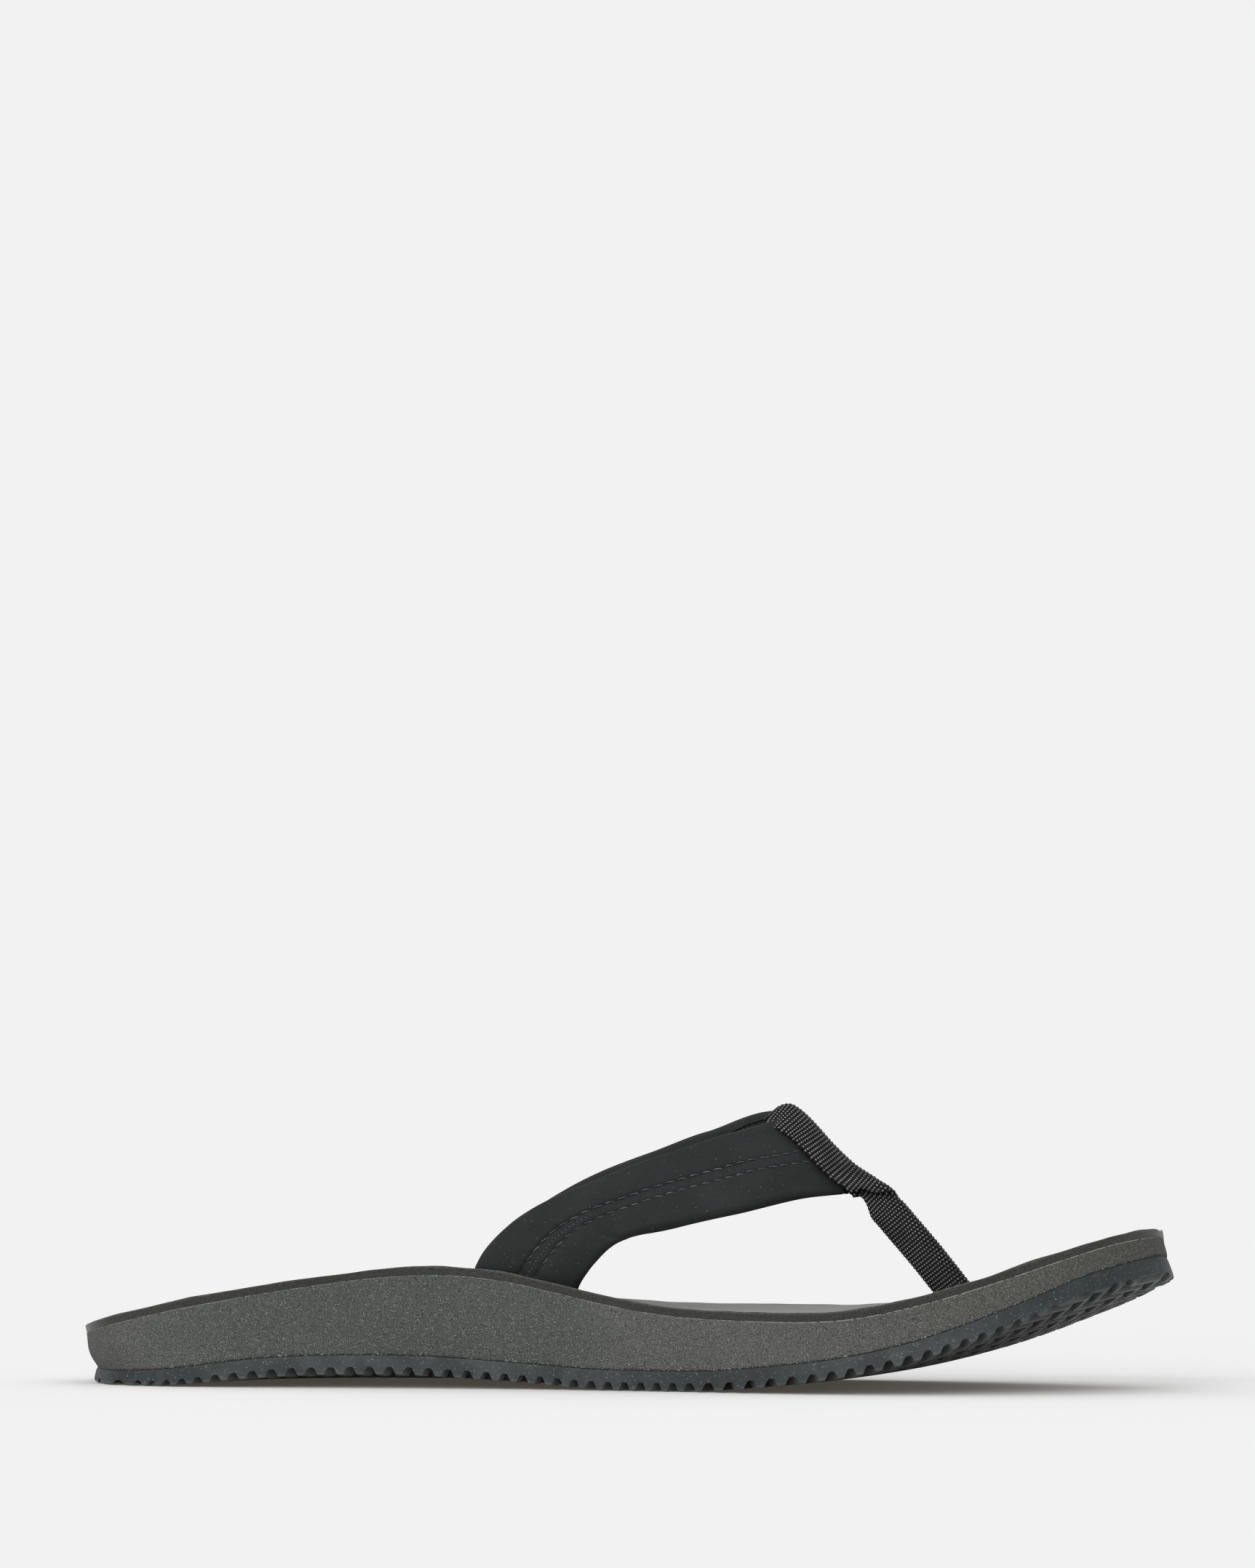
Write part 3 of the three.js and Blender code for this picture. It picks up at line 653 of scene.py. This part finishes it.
def panel_section(strap, side):
    """One panel's closed section at each step: out over the padding, round the edge, and back inside."""
    lift = panel_lift(strap, PANEL_FLAT, side)
    outer = np.stack([np.broadcast_to(PANEL_FLAT, lift.shape), lift], axis=-1)
    edge = lift[:, -1:]
    centre = (edge - 2.35) * 0.6
    turn = np.stack([STRAP_EDGE - EDGE_ROUND + EDGE_ROUND * np.cos(PANEL_TURN) + 0 * centre,
                     centre + (edge - centre) * np.sin(PANEL_TURN)], axis=-1)
    path = np.concatenate([outer, turn], axis=1)
    slope = np.gradient(path, axis=1)
    inside = path - PANEL_THICK * unit(np.stack([-slope[..., 1], slope[..., 0]], axis=-1))
    inside[:, 0, 0] = path[:, 0, 0]
    section = np.concatenate([path, inside[:, ::-1]], axis=1)
    section[..., 0] *= side
    return section


def panel(strap, side, word):
    piece = loft(f"{strap.side}_{word}_panel_cloth", strap.surface(panel_section(strap, side)), sharp=60)
    place(piece, f"{strap.side}_strap_{word}_panel", "strap_cloth", fill=0.7)


def seam_band(strap):
    """The raised band between the rows of stitches, with the ladder of its own stitches near the slot."""
    strap = strap.resampled(BAND_STEP)
    across, way = np.linspace(-1, 1, BAND_POINTS)[None, :], strap.way[:, None]
    half = narrowed(strap, SEAM_BAND)[:, None]
    ladder = between(strap.share, (0.08, 0.14), (0.36, 0.5))[:, None]
    rungs = np.abs(np.cos(math.pi * way / RUNG_PITCH)) * ladder
    twill = 0.05 * np.cos(2 * math.pi * (way / TWILL_PITCH + across * 1.2)) * (1 - ladder)
    top = 2.22 + 0.26 * (1 - across**2) ** 0.5 + twill + 0.22 * (rungs * (1 - across**4) - ladder)
    upper = np.stack([half * across, top], axis=-1)
    lower = np.stack([half * across[:, ::-1], np.full_like(top, 1.75)], axis=-1)
    piece = loft(f"{strap.side}_seam_band", strap.surface(np.concatenate([upper, lower], axis=1)), sharp=70)
    # rung: the ladder's crests, which get a painted highlight in the material.
    paint(piece, "rung", np.repeat(rungs, 2 * BAND_POINTS))
    place(piece, f"{strap.side}_strap_seam_tape", "strap_cloth", look="seam_band_cloth", fill=0.4)


def stitch(strap, side, start):
    """One stitch: it dives into the cloth at both ends and leans a little."""
    slip, shift, proud = random.normal(0, 0.05, 3)
    t = np.linspace(0, 1, 10)
    way = start + (0.42 + 2.35 * t) * MM * (1 + 0.03 * slip)
    middle, along, out = strap.read_at(way)
    row = np.interp(way, strap.way, narrowed(strap, STITCH_ROWS))
    across = side * row + (t - 0.5) * 0.34 + shift
    arch = np.sin(math.pi * t) ** 0.5
    line = middle + along * across[:, None] + out * (1.98 + 0.46 * arch + 0.25 * proud)[:, None]
    turn = np.linspace(0, 2 * math.pi, 9)[:-1]
    radius = 0.23 * (0.5 + 0.5 * arch)[:, None] + 0.03 * np.cos(3 * (turn + 5 * t[:, None]))
    return line[:, None] + (along[:, None] * (radius * np.cos(turn))[..., None]
                            + unit(out)[:, None] * MM * (radius * np.sin(turn))[..., None])


def stitching(strap, side, word):
    starts = np.arange(0.2 * strap.length, 0.985 * strap.length - STITCH_PITCH, STITCH_PITCH)
    piece = lofts(f"{strap.side}_{word}_stitches", [stitch(strap, side, start) for start in starts], sharp=80)
    place(piece, f"{strap.side}_strap_{word}_stitching", "thread")


def padding(strap):
    """The foam between cover and tape."""
    across = np.concatenate([-PANEL_FLAT[::-1], PANEL_FLAT])
    rear, front = (panel_lift(strap, PANEL_FLAT, side) for side in (-1, 1))
    top = np.concatenate([rear[:, ::-1], front], axis=1) - 1.1
    upper = np.stack([np.broadcast_to(across, top.shape), top], axis=-1)
    right = np.array([[11.9, 0.9], [12.2, 0.3], [11.9, -0.3]])
    low = np.column_stack([np.linspace(11.2, -11.2, 12), np.full(12, -0.5)])
    rest = np.concatenate([right, low, right[::-1] * (-1, 1)])
    section = np.concatenate([upper, np.broadcast_to(rest, (len(top), *rest.shape))], axis=1)
    piece = loft(f"{strap.side}_foam_padding", strap.surface(section))
    place(piece, f"{strap.side}_strap_padding", "padding_foam", fill=0.8)


def lining(strap):
    """The cloth against the foot, a little hollow between its two hems."""
    across = np.linspace(-11.6, 11.6, 25)
    lower = -2.42 - 0.28 * (1 - (across / 11.6) ** 2) + 0.12 * np.exp(-((np.abs(across) - 10.2) / 0.35) ** 2)
    section = np.concatenate([np.column_stack([across, lower]), [[12.0, -2.2]],
                              np.column_stack([across[::-1], np.full(25, -1.85)]), [[-12.0, -2.2]]])
    piece = loft(f"{strap.side}_lining_cloth", strap.surface(section))
    place(piece, f"{strap.side}_strap_lining", "lining_cloth", fill=0.3)


# ---- Webbing ----

WEB_STEP = 0.14  # mm between rings
WEB_HALF = 8.2  # mm, half the webbing's width
WEB_THICK = 1.2
WEB_START = 5.2  # mm along the CAD's webbing, where the part that shows begins
WEB_KNOTS = np.array([-WEB_HALF, -2.3, -1.15, 0, 1.15, 2.3, WEB_HALF])  # the CAD's corners, across it
WEB_POINTS = 71
WEB_MIDDLE = WEB_POINTS // 2
REAR_CORNERS = ((0, -1, (0.0412, -0.0226, 0.0684)), (-1, 1, (0.0428, -0.0078, 0.0695)))  # inner and outer
TIP = 0.0675  # x, under the straps' front tips, where the webbing starts to fold
RIB_PITCH = 1.05  # mm between the webbing's ribs
WARP_PITCH = 0.62  # mm between the warp threads that show on each rib


def webbing_rings():
    """The CAD webbing's outer and inner faces, seven points across each, from the rear end to the foot."""
    rings = loft_rings("toe_post_webbing", 14, (0.64, 0, -0.77))[::-1]
    spread = rings[8] - rings[8].mean(0)
    edge = np.argsort(spread[:, 1])[:2]
    inner, outer = sorted(edge, key=lambda i: spread[i] @ np.array([0.42, -0.8, 0.42]))
    order = np.roll(np.arange(14), -outer)
    if order[1] == inner:
        order = np.roll(order[::-1], 1)
    rings = rings[:, order]
    return rings[:, :7], rings[:, 7:][:, ::-1]


def over_web(along, across):
    """A share for each place on the webbing, from one along it and one across it."""
    return along[:, None, None] * across[None, :, None]


def drape(outer, inner, way, across):
    """Pulls the webbing's rear corners down over the straps' edges, widens its inner arm on the ridge, and
    pinches and creases it where it turns under the straps' front tips to fold in half."""
    x = outer[:, WEB_MIDDLE, 0]
    on_ridge = 1 - smoothstep(x, TIP - 5 * MM, TIP)
    wider = (2.4 - 1.4 * smoothstep(x, 0.046, 0.058)) * MM * on_ridge
    slide = over_web(wider, smoothstep(-across, 2.0, WEB_HALF)) * unit(outer[:, :1] - outer[:, 14:15])
    tip = way[np.argmin(np.abs(x - TIP))]
    on_post = (0.7 * (1 - on_ridge) - 2.4 * between(way, (tip - 1, tip + 1.5), (tip + 2, tip + 9))) * MM
    near = np.exp(-(((way - WEB_START) / 4.6) ** 2))
    for edge, side, corner in REAR_CORNERS:
        arm = unit(outer[:, edge] - outer[:, WEB_MIDDLE])[:, None]
        slide = slide + over_web(on_post, smoothstep(side * across, 2.0, WEB_HALF)) * arm
        pull = np.array(corner) - (outer + slide)[0, edge]
        slide = slide + over_web(near, smoothstep(side * across, 0.5, WEB_HALF)) * pull
    outer, inner = outer + slide, inner + slide
    step = way[:, None] - (tip + (across[None, :] + WEB_HALF) * 1.05)
    swell = (1 - smoothstep(step, -0.7, 0.25)) * smoothstep(step, -7, -2)
    tuck = np.exp(-(((step - 0.7) / 0.9) ** 2))
    inner_arm = smoothstep(-across, -1.0, 1.5)[None, :]
    crease = unit(outer - inner) * ((swell - tuck) * inner_arm * MM)[..., None]
    return outer + crease, inner + crease


def weave(way, across):
    """The ribs across the webbing and the warp threads that show on them, each from 0 to 1."""
    skewed = (way + 0.35 * np.sin(way / 9.0))[:, None] + 0.12 * np.sin(across / 2.6)[None, :]
    phase = skewed / RIB_PITCH
    rib = np.abs(np.cos(math.pi * phase)) ** 0.8
    row = np.floor(phase + 0.5)
    return rib, 0.5 + 0.5 * np.cos(2 * math.pi * (across[None, :] / WARP_PITCH + 0.5 * row))


def post_webbing():
    """One ribbed band: real ribs across it, scalloped edges, and its fold along the middle."""
    faces = webbing_rings()
    coarse_way = travelled(faces[0][:, 3]) / MM
    way = np.arange(WEB_START, coarse_way[-1], WEB_STEP)
    across = np.linspace(-1, 1, WEB_POINTS)
    across = np.sign(across) * np.abs(across) ** 0.92 * WEB_HALF
    finer = [curve_through(face, coarse_way, way).transpose(1, 0, 2) for face in faces]
    outer, inner = (curve_through(face, WEB_KNOTS, across).transpose(1, 0, 2) for face in finer)
    outer, inner = drape(outer, inner, way, across)
    normal, middle = unit(outer - inner), (outer + inner) / 2
    rib, thread = weave(way, across)
    taper = smoothstep(WEB_HALF - np.abs(across), 0, 1.1)[None, :]
    proud = (0.26 * (rib - 0.55) + 0.08 * thread * rib) * (0.5 + 0.5 * taper)
    half = 0.5 * WEB_THICK * (0.55 + 0.45 * taper)
    scallop = 0.2 * (rib - 0.5) * (1 - taper) * np.sign(across)[None, :]
    middle = middle + unit(np.gradient(middle, axis=1)) * (scallop * MM)[..., None]
    top = middle + normal * ((half + proud) * MM)[..., None]
    low = middle - normal * ((half + 0.5 * proud) * MM)[..., None]
    piece = loft("toe_post_ribbed_webbing", np.concatenate([top, low[:, ::-1]], axis=1), sharp=180)
    # rib and thread also place the webbing's painted shade and painted highlights.
    for name, field in (("rib", rib), ("thread", thread)):
        paint(piece, name, np.concatenate([field, field[:, ::-1]], axis=1))
    place(piece, "toe_post_webbing", "webbing")


# ---- Slots ----

SLOT_ROOM = 0.35  # mm beside a strap or the post

def rounded_box(wide, high, wide_power, high_power, count):
    """Points round a box with rounded corners, from its half sizes. Lower powers make it squarer."""
    turn = np.linspace(0, 2 * math.pi, count + 1)[:-1]
    cos, sin = np.cos(turn), np.sin(turn)
    return np.column_stack([np.sign(cos) * np.abs(cos) ** wide_power * wide,
                            np.sign(sin) * np.abs(sin) ** high_power * high])


def strap_slot(strap):
    """What a strap's slot takes out of the sole: the strap's own shape with a little room, and its mouth."""
    shape = rounded_box(STRAP_EDGE + SLOT_ROOM, 2.95, 0.35, 0.6, 40)
    skip = 3
    rings = strap.surface(shape, slice(0, int(0.22 * len(strap.way)), skip))
    below = rings[0] - (rings[1] - rings[0]) * (6 * MM / STRAP_STEP / skip)
    return loft(f"{strap.side}_slot", np.concatenate([below[None], rings]))


def post_slot():
    """The hole that the toe post goes down."""
    outer, inner = webbing_rings()
    rings = np.concatenate([outer, inner], axis=1)[-9:]
    start, end = rings.mean(1)[[0, -1]]
    way = unit(end - start)
    fore = unit(np.array([-way[2], 0, way[0]]))
    spread = np.abs(rings[-1] - end)
    long = np.abs((rings[-1] - end) @ fore).max() + 0.85 * MM
    shape = rounded_box(long, spread[:, 1].max() + SLOT_ROOM * MM, 0.6, 0.6, 32)
    shape = shape[:, :1] * fore + shape[:, 1:] * (0, 1, 0)
    low, high = end + way * 3 * MM, end - way * 26 * MM
    return loft("post_slot", np.stack([low + shape, (low + high) / 2 + shape, high + shape]))


# ---- Materials ----

LIT = 0.69  # multiplies a colour, so that an upright face in this light looks as it should
# Colours as they look on an upright face, from 0 to 255.
MIDSOLE_DARK, MIDSOLE_LIGHT = (77, 80, 76), (87, 88, 85)
OUTSOLE_DARK, OUTSOLE_LIGHT = (37, 44, 46), (45, 52, 54)
STRAP_DARK, STRAP_LIGHT = (38, 41, 41), (45, 48, 48)
# Painted highlight where a warp thread crosses a webbing rib.
WARP_HIGHLIGHT = (176, 173, 176)


def tone(red, green, blue):
    """The linear colour that looks like this, from 0 to 255, on an upright face."""
    def linear(byte):
        share = byte / 255
        return LIT * (share / 12.92 if share <= 0.04045 else ((share + 0.055) / 1.055) ** 2.4)
    return linear(red), linear(green), linear(blue), 1


class Look:
    """A procedural material in the making. Sizes are in mm, in the object's own coordinates. A colour is a
    socket or three numbers from 0 to 255."""

    def __init__(self, name, gloss, **constants):
        self.material = bpy.data.materials.new(name)
        self.material.use_nodes = True
        self.tree = self.material.node_tree
        self.shader = self.tree.nodes["Principled BSDF"]
        for socket, value in {"Specular IOR Level": gloss, **constants}.items():
            self.shader.inputs[socket.replace("_", " ")].default_value = value
        self.place = self.node("TexCoord").outputs["Object"]
        self.relief = None

    def node(self, kind, inputs=None, **settings):
        made = self.tree.nodes.new("ShaderNode" + kind)
        for key, value in settings.items():
            setattr(made, key, value)
        for socket, value in (inputs or {}).items():
            self.feed(made.inputs[socket], value)
        return made

    def feed(self, socket, value):
        if isinstance(value, bpy.types.NodeSocket):
            self.tree.links.new(value, socket)
        else:
            socket.default_value = value

    def noise(self, size, detail=2.0, stretch=(1, 1, 1)):
        where = self.node("Mapping", {"Vector": self.place, "Scale": stretch}).outputs[0]
        return self.node("TexNoise", {"Vector": where, "Scale": 1000 / size, "Detail": detail}).outputs[0]

    def cells(self, size, feature="F1"):
        inputs = {"Vector": self.place, "Scale": 1000 / size}
        return self.node("TexVoronoi", inputs, feature=feature).outputs[0]

    def axis(self, index):
        return self.node("SeparateXYZ", {"Vector": self.place}).outputs[index]

    def painted(self, name):
        return self.node("Attribute", attribute_name=name).outputs["Fac"]

    def times(self, a, b):
        return self.node("Math", {0: a, 1: b}, operation="MULTIPLY").outputs[0]

    def ramp(self, value, low, high, start=0.0, end=1.0):
        inputs = {"Value": value, "From Min": low, "From Max": high, "To Min": start, "To Max": end}
        return self.node("MapRange", inputs, interpolation_type="SMOOTHSTEP").outputs[0]

    def mixed(self, share, *colours):
        made = self.node("Mix", {0: share}, data_type="RGBA")
        for index, colour in zip((6, 7), colours):
            self.feed(made.inputs[index], tone(*colour) if isinstance(colour, tuple) else colour)
        return made.outputs[2]

    def over(self, colour, laid, field, low=0.3, high=0.7, most=1.0):
        """Lays a second colour over the first, as far as a field has risen from low to high."""
        return self.mixed(self.ramp(field, low, high, 0, most), colour, laid)

    def bump(self, height, depth, strength=1.0):
        inputs = {"Height": height, "Distance": depth * MM, "Strength": strength}
        if self.relief is not None:
            inputs["Normal"] = self.relief
        self.relief = self.node("Bump", inputs).outputs[0]

    def done(self, colour, field, start, end, low=0.3, high=0.7):
        """The material, with roughness that goes from start to end as a field rises from low to high."""
        self.feed(self.shader.inputs["Base Color"], colour)
        self.feed(self.shader.inputs["Roughness"], self.ramp(field, low, high, start, end))
        self.feed(self.shader.inputs["Normal"], self.relief)
        return self.material


def midsole_foam():
    """Buffed foam: a fine light and dark speckle, a whitish glue line on top and flecks of glue below, with
    painted shade at the arch and towards the toe.
    """
    look = Look("midsole_foam", gloss=0.18)
    grain, along = look.noise(0.27, 1.0), look.axis(0)
    base = look.over(MIDSOLE_DARK, MIDSOLE_LIGHT, look.noise(34), 0.35, 0.65)
    # Painted shade: the wall is darker at the arch and towards the toe, where less light falls on it.
    arch = look.times(look.ramp(along, -0.10, -0.06), look.ramp(along, -0.03, 0.01, 1, 0))
    base = look.mixed(look.times(arch, 0.6), base, (69, 72, 68))
    base = look.over(base, (78, 78, 73), along, 0.05, 0.12, 0.6)  # painted shade towards the toe
    colour = look.over((50, 52, 49), base, grain, 0.30, 0.50)
    colour = look.over(colour, (122, 124, 118), grain, 0.58, 0.78)
    colour = look.over(colour, (150, 152, 146), look.noise(0.26, 0.0), 0.72, 0.78, 0.8)
    below, above = look.painted("below_top"), look.painted("above_low")
    glue = look.times(look.ramp(below, 0.12, 0.34, 1, 0), look.ramp(look.noise(1.3, 3.0), 0.38, 0.52))
    glue = look.times(glue, look.ramp(along, 0.02, 0.08, 0.4, 0.8))
    colour = look.mixed(glue, colour, (160, 160, 151))
    lower = look.times(look.ramp(above, 0.25, 0.7, 0.65, 0), look.ramp(look.noise(0.6), 0.40, 0.5))
    colour = look.mixed(lower, colour, (36, 40, 38))
    spots = look.times(look.ramp(above, 0.1, 0.6, 1, 0), look.ramp(look.noise(0.5, 0.0), 0.66, 0.72))
    colour = look.mixed(spots, colour, (150, 152, 146))
    look.bump(look.cells(0.45), 0.05, 0.5)
    look.bump(grain, 0.04, 0.6)
    return look.done(colour, grain, 0.95, 0.75)


def footbed_foam():
    """A dark napped top layer with a darker and slightly torn cut edge; its face is painted lighter, a painted
    sheen for grazing light.
    """
    look = Look("footbed_foam", gloss=0.2, Sheen_Weight=0.22, Sheen_Roughness=0.45)
    grain, nap = look.noise(0.42), look.noise(0.8, 3.0)
    edge = look.over((55, 56, 52), (63, 64, 60), look.noise(19, 3.0))
    edge = look.over((43, 44, 41), edge, grain)
    # Painted sheen: the face is lighter than the cut edge, standing in for the light that grazes it.
    colour = look.mixed(look.painted("face"), edge, look.over((65, 66, 61), (87, 87, 81), nap, 0.35, 0.7))
    colour = look.over(colour, (38, 39, 36), look.noise(0.9, stretch=(0.16, 0.16, 1.0)), 0.62, 0.75, 0.4)
    look.bump(nap, 0.16, 0.6)
    look.bump(grain, 0.08, 0.6)
    return look.done(colour, grain, 0.95, 0.8)


def outsole_rubber():
    """Moulded rubber: bluish black, dusty, smoother than the foam, scuffed below, with painted shade in its
    grooves.
    """
    look = Look("outsole_rubber", gloss=0.25)
    cloud = look.noise(9, 4.0)
    colour = look.over(OUTSOLE_DARK, OUTSOLE_LIGHT, cloud)
    colour = look.over(colour, (68, 75, 78), look.noise(1.6, stretch=(1, 1, 0.2)), 0.58, 0.8, 0.3)
    colour = look.over(colour, (118, 124, 126), look.noise(0.45, 0.0), 0.70, 0.78, 0.5)
    worn = look.times(look.painted("worn"), look.ramp(look.noise(2.2, 4.0), 0.25, 0.55, 0.3, 0.75))
    colour = look.mixed(worn, colour, (86, 89, 87))
    # Painted shade inside the tread's grooves.
    colour = look.mixed(look.times(look.painted("groove_shade"), 0.75), colour, (22, 25, 26))
    look.bump(look.noise(0.35), 0.04, 0.5)
    look.bump(look.noise(3.2, 3.0), 0.14, 0.35)
    return look.done(colour, cloud, 0.62, 0.48)


def strap_cloth():
    """Smooth brushed synthetic: matt, with a fine nap, soft clouds, faint rubbed marks and some lint."""
    look = Look("strap_cloth", gloss=0.12, Sheen_Weight=0.06, Sheen_Roughness=0.4,
                Sheen_Tint=tone(236, 222, 196))
    nap = look.noise(0.28)
    colour = look.over(STRAP_DARK, STRAP_LIGHT, look.noise(11, 4.0))
    colour = look.over(colour, (32, 34, 34), nap, most=0.35)
    colour = look.over(colour, (66, 67, 65), look.noise(2.4, 5.0, (0.5, 1, 1.6)), 0.60, 0.78, 0.3)
    colour = look.over(colour, (110, 112, 112), look.noise(0.5, 0.0), 0.80, 0.84, 0.5)
    look.bump(nap, 0.03, 0.5)
    look.bump(look.noise(1.6, 3.0), 0.07, 0.45)
    return look.done(colour, nap, 0.92, 0.78)


def seam_band_cloth():
    """Dark fibres, with a painted highlight on the crest of each rung where the ladder's threads cross."""
    look = Look("seam_band_cloth", gloss=0.25)
    fibre, rung = look.noise(0.3, 3.0), look.painted("rung")
    colour = look.over((22, 24, 25), (46, 49, 52), fibre, 0.35, 0.7)
    # Painted highlight on the rungs' crests.
    colour = look.over(colour, (88, 92, 98), rung, 0.55, 0.95, 0.9)
    colour = look.over(colour, (34, 36, 40), look.noise(3.5, 3.0), 0.4, 0.7, 0.4)
    look.bump(rung, 0.06, 0.5)
    look.bump(fibre, 0.07, 0.7)
    return look.done(colour, fibre, 0.85, 0.6)


def thread():
    look = Look("thread", gloss=0.6)
    # Painted glints: the twist's lighter colour is a painted highlight along the fibres, and the lighter patches
    # are painted glints.
    twist = look.noise(0.22)
    colour = look.over((26, 28, 34), (78, 81, 90), twist, 0.4, 0.68)
    colour = look.over(colour, (98, 101, 106), look.noise(2.6, 1.0), 0.5, 0.68, 0.5)
    look.bump(twist, 0.05, 0.8)
    return look.done(colour, twist, 0.6, 0.4)


def lining_cloth():
    """A soft knit."""
    look = Look("lining_cloth", gloss=0.15, Sheen_Weight=0.08, Sheen_Roughness=0.5)
    knit = look.cells(0.75, "SMOOTH_F1")
    base = look.over((36, 38, 38), (46, 48, 48), look.noise(8, 3.0))
    colour = look.over(base, (20, 21, 22), knit, 0.15, 0.6)
    look.bump(knit, 0.16, 0.7)
    look.bump(look.noise(0.2), 0.04, 0.5)
    return look.done(colour, knit, 0.8, 0.95, 0.1, 0.6)


def padding_foam():
    """Open-celled foam, a little yellowed."""
    look = Look("padding_foam", gloss=0.2)
    cells = look.cells(0.5)
    colour = look.over((120, 121, 116), (64, 65, 62), cells, 0.1, 0.6)
    colour = look.over(colour, (98, 94, 84), look.noise(12), most=0.3)
    look.bump(cells, 0.2, 0.8)
    return look.done(colour, cells, 0.8, 0.95, 0.1, 0.6)


def webbing():
    """Grosgrain: painted shade, near black, between the ribs, and a painted highlight where each warp thread
    crosses a rib.
    """
    look = Look("webbing", gloss=0.14)
    rib, warp, fibre = look.painted("rib"), look.painted("thread"), look.noise(0.2)
    # Painted highlights where warp threads cross the rib crests, and painted shade between the ribs.
    warp_highlight = look.times(look.ramp(rib, 0.74, 0.96), look.ramp(warp, 0.46, 0.88))
    warp_highlight = look.times(warp_highlight, look.ramp(look.noise(5), 0.3, 0.6, 0.55, 1))
    warp_highlight = look.times(warp_highlight, look.ramp(look.axis(2), 0.036, 0.060, 0.75, 1))  # the painted highlights are weaker on the post
    colour = look.mixed(warp_highlight, look.over((7, 7, 7), (27, 26, 27), rib, 0.45, 0.9), WARP_HIGHLIGHT)
    colour = look.over(colour, (20, 19, 22), fibre, 0.45, 0.75, 0.35)
    look.bump(fibre, 0.05, 0.7)
    look.bump(warp, 0.08, 0.6)
    return look.done(colour, fibre, 0.75, 0.5)


def strap_tape():
    """A plain weave."""
    look = Look("strap_tape", gloss=0.25)
    weft, warp = look.noise(0.5, 1.0, (0.1, 1, 1)), look.noise(0.5, 1.0, (1, 0.1, 1))
    crossing = look.times(weft, warp)
    look.bump(crossing, 0.1, 0.8)
    colour = look.over((30, 31, 32), (74, 75, 74), crossing, 0.15, 0.4)
    return look.done(colour, crossing, 0.9, 0.7, 0.15, 0.4)


def anchor_plastic():
    look = Look("anchor_plastic", gloss=0.4)
    grain = look.noise(0.6, 3.0)
    colour = look.over((28, 29, 30), (42, 43, 44), look.noise(7))
    look.bump(grain, 0.05, 0.6)
    return look.done(colour, grain, 0.5, 0.38)


def add_floor():
    """A wide pale floor. What it reflects and its own glow add up to the background's radiance."""
    mesh = bpy.data.meshes.new("floor")
    reach = FLOOR_REACH * np.array([(-1, -1), (1, -1), (1, 1), (-1, 1)])
    mesh.from_pydata([(x, y, -FLOOR_DROP) for x, y in reach.tolist()], [], [(0, 1, 2, 3)])
    reflected = [(PALE - glow) / FLOOR_LIGHT for glow in FLOOR_GLOW]
    look = Look("pale_floor", gloss=0, Base_Color=(*reflected, 1), Emission_Color=(*FLOOR_GLOW, 1),
                Emission_Strength=1, Roughness=1)
    mesh.materials.append(look.material)
    add_to_scene("floor", mesh)


LOOKS = {make.__name__: make() for make in (
    footbed_foam, midsole_foam, outsole_rubber, strap_cloth, seam_band_cloth, thread, lining_cloth,
    padding_foam, webbing, strap_tape, anchor_plastic)}


# ---- Assembly ----

def from_rim(rim, x, y):
    """How far each place is from a rim, in plan."""
    return np.array([np.hypot(rim[:, 0] - a, rim[:, 1] - b).min() for a, b in zip(x, y)])


def sole_pieces(straps):
    """The three layers with the tread and the slots cut, and what their materials read painted on."""
    footbed, midsole, outsole = footbed_layer(), midsole_layer(), outsole_blank()
    subtract(outsole, groove_cutters(), sharp=32)
    for layer in (footbed, midsole):
        for strap in straps:
            subtract(layer, strap_slot(strap))
        subtract(layer, post_slot())
    place(footbed, "footbed", "footbed_foam", fill=1)
    place(midsole, "midsole", "midsole_foam", fill=1)
    place(outsole, "outsole", "outsole_rubber")
    x, y, z = corners(footbed).T
    # face: the footbed's top face, which the material paints with its painted sheen.
    paint(footbed, "face", 1 - smoothstep(foot_top(x, y) - z, 0.05 * MM, 0.7 * MM))
    x, y, z = corners(midsole).T
    paint(midsole, "below_top", (foot_low(x, y) - z) / MM)
    paint(midsole, "above_low", (z - mid_low(x, y)) / MM)
    x, y, z = corners(outsole).T
    above = z - base(x, y)
    inside = smoothstep(from_rim(BASE_RIM, x, y), 1.2 * MM, 2.2 * MM)
    paint(outsole, "worn", 1 - smoothstep(above, 0.1 * MM, 0.9 * MM))
    # Painted shade: how far a place lies up inside a groove, away from the rim.
    paint(outsole, "groove_shade", smoothstep(above, 0.2 * MM, 0.8 * MM) * inside)


def strap_pieces(strap):
    for side, word in SIDES:
        panel(strap, side, word)
    seam_band(strap)
    for side, word in SIDES:
        stitching(strap, side, word)
    padding(strap)
    lining(strap)


def finish_hidden_nodes():
    """The load tapes and the anchor stay as the CAD made them, inside the sole and the straps."""
    for node, look in (("medial_strap_tape", "strap_tape"), ("lateral_strap_tape", "strap_tape"),
                       ("toe_post_anchor", "anchor_plastic")):
        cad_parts[node].material_slots[0].material = LOOKS[look]


add_floor()
straps = [Strap("medial"), Strap("lateral")]
sole_pieces(straps)
for strap in straps:
    strap_pieces(strap)
post_webbing()
finish_hidden_nodes()

bpy.context.view_layer.update()
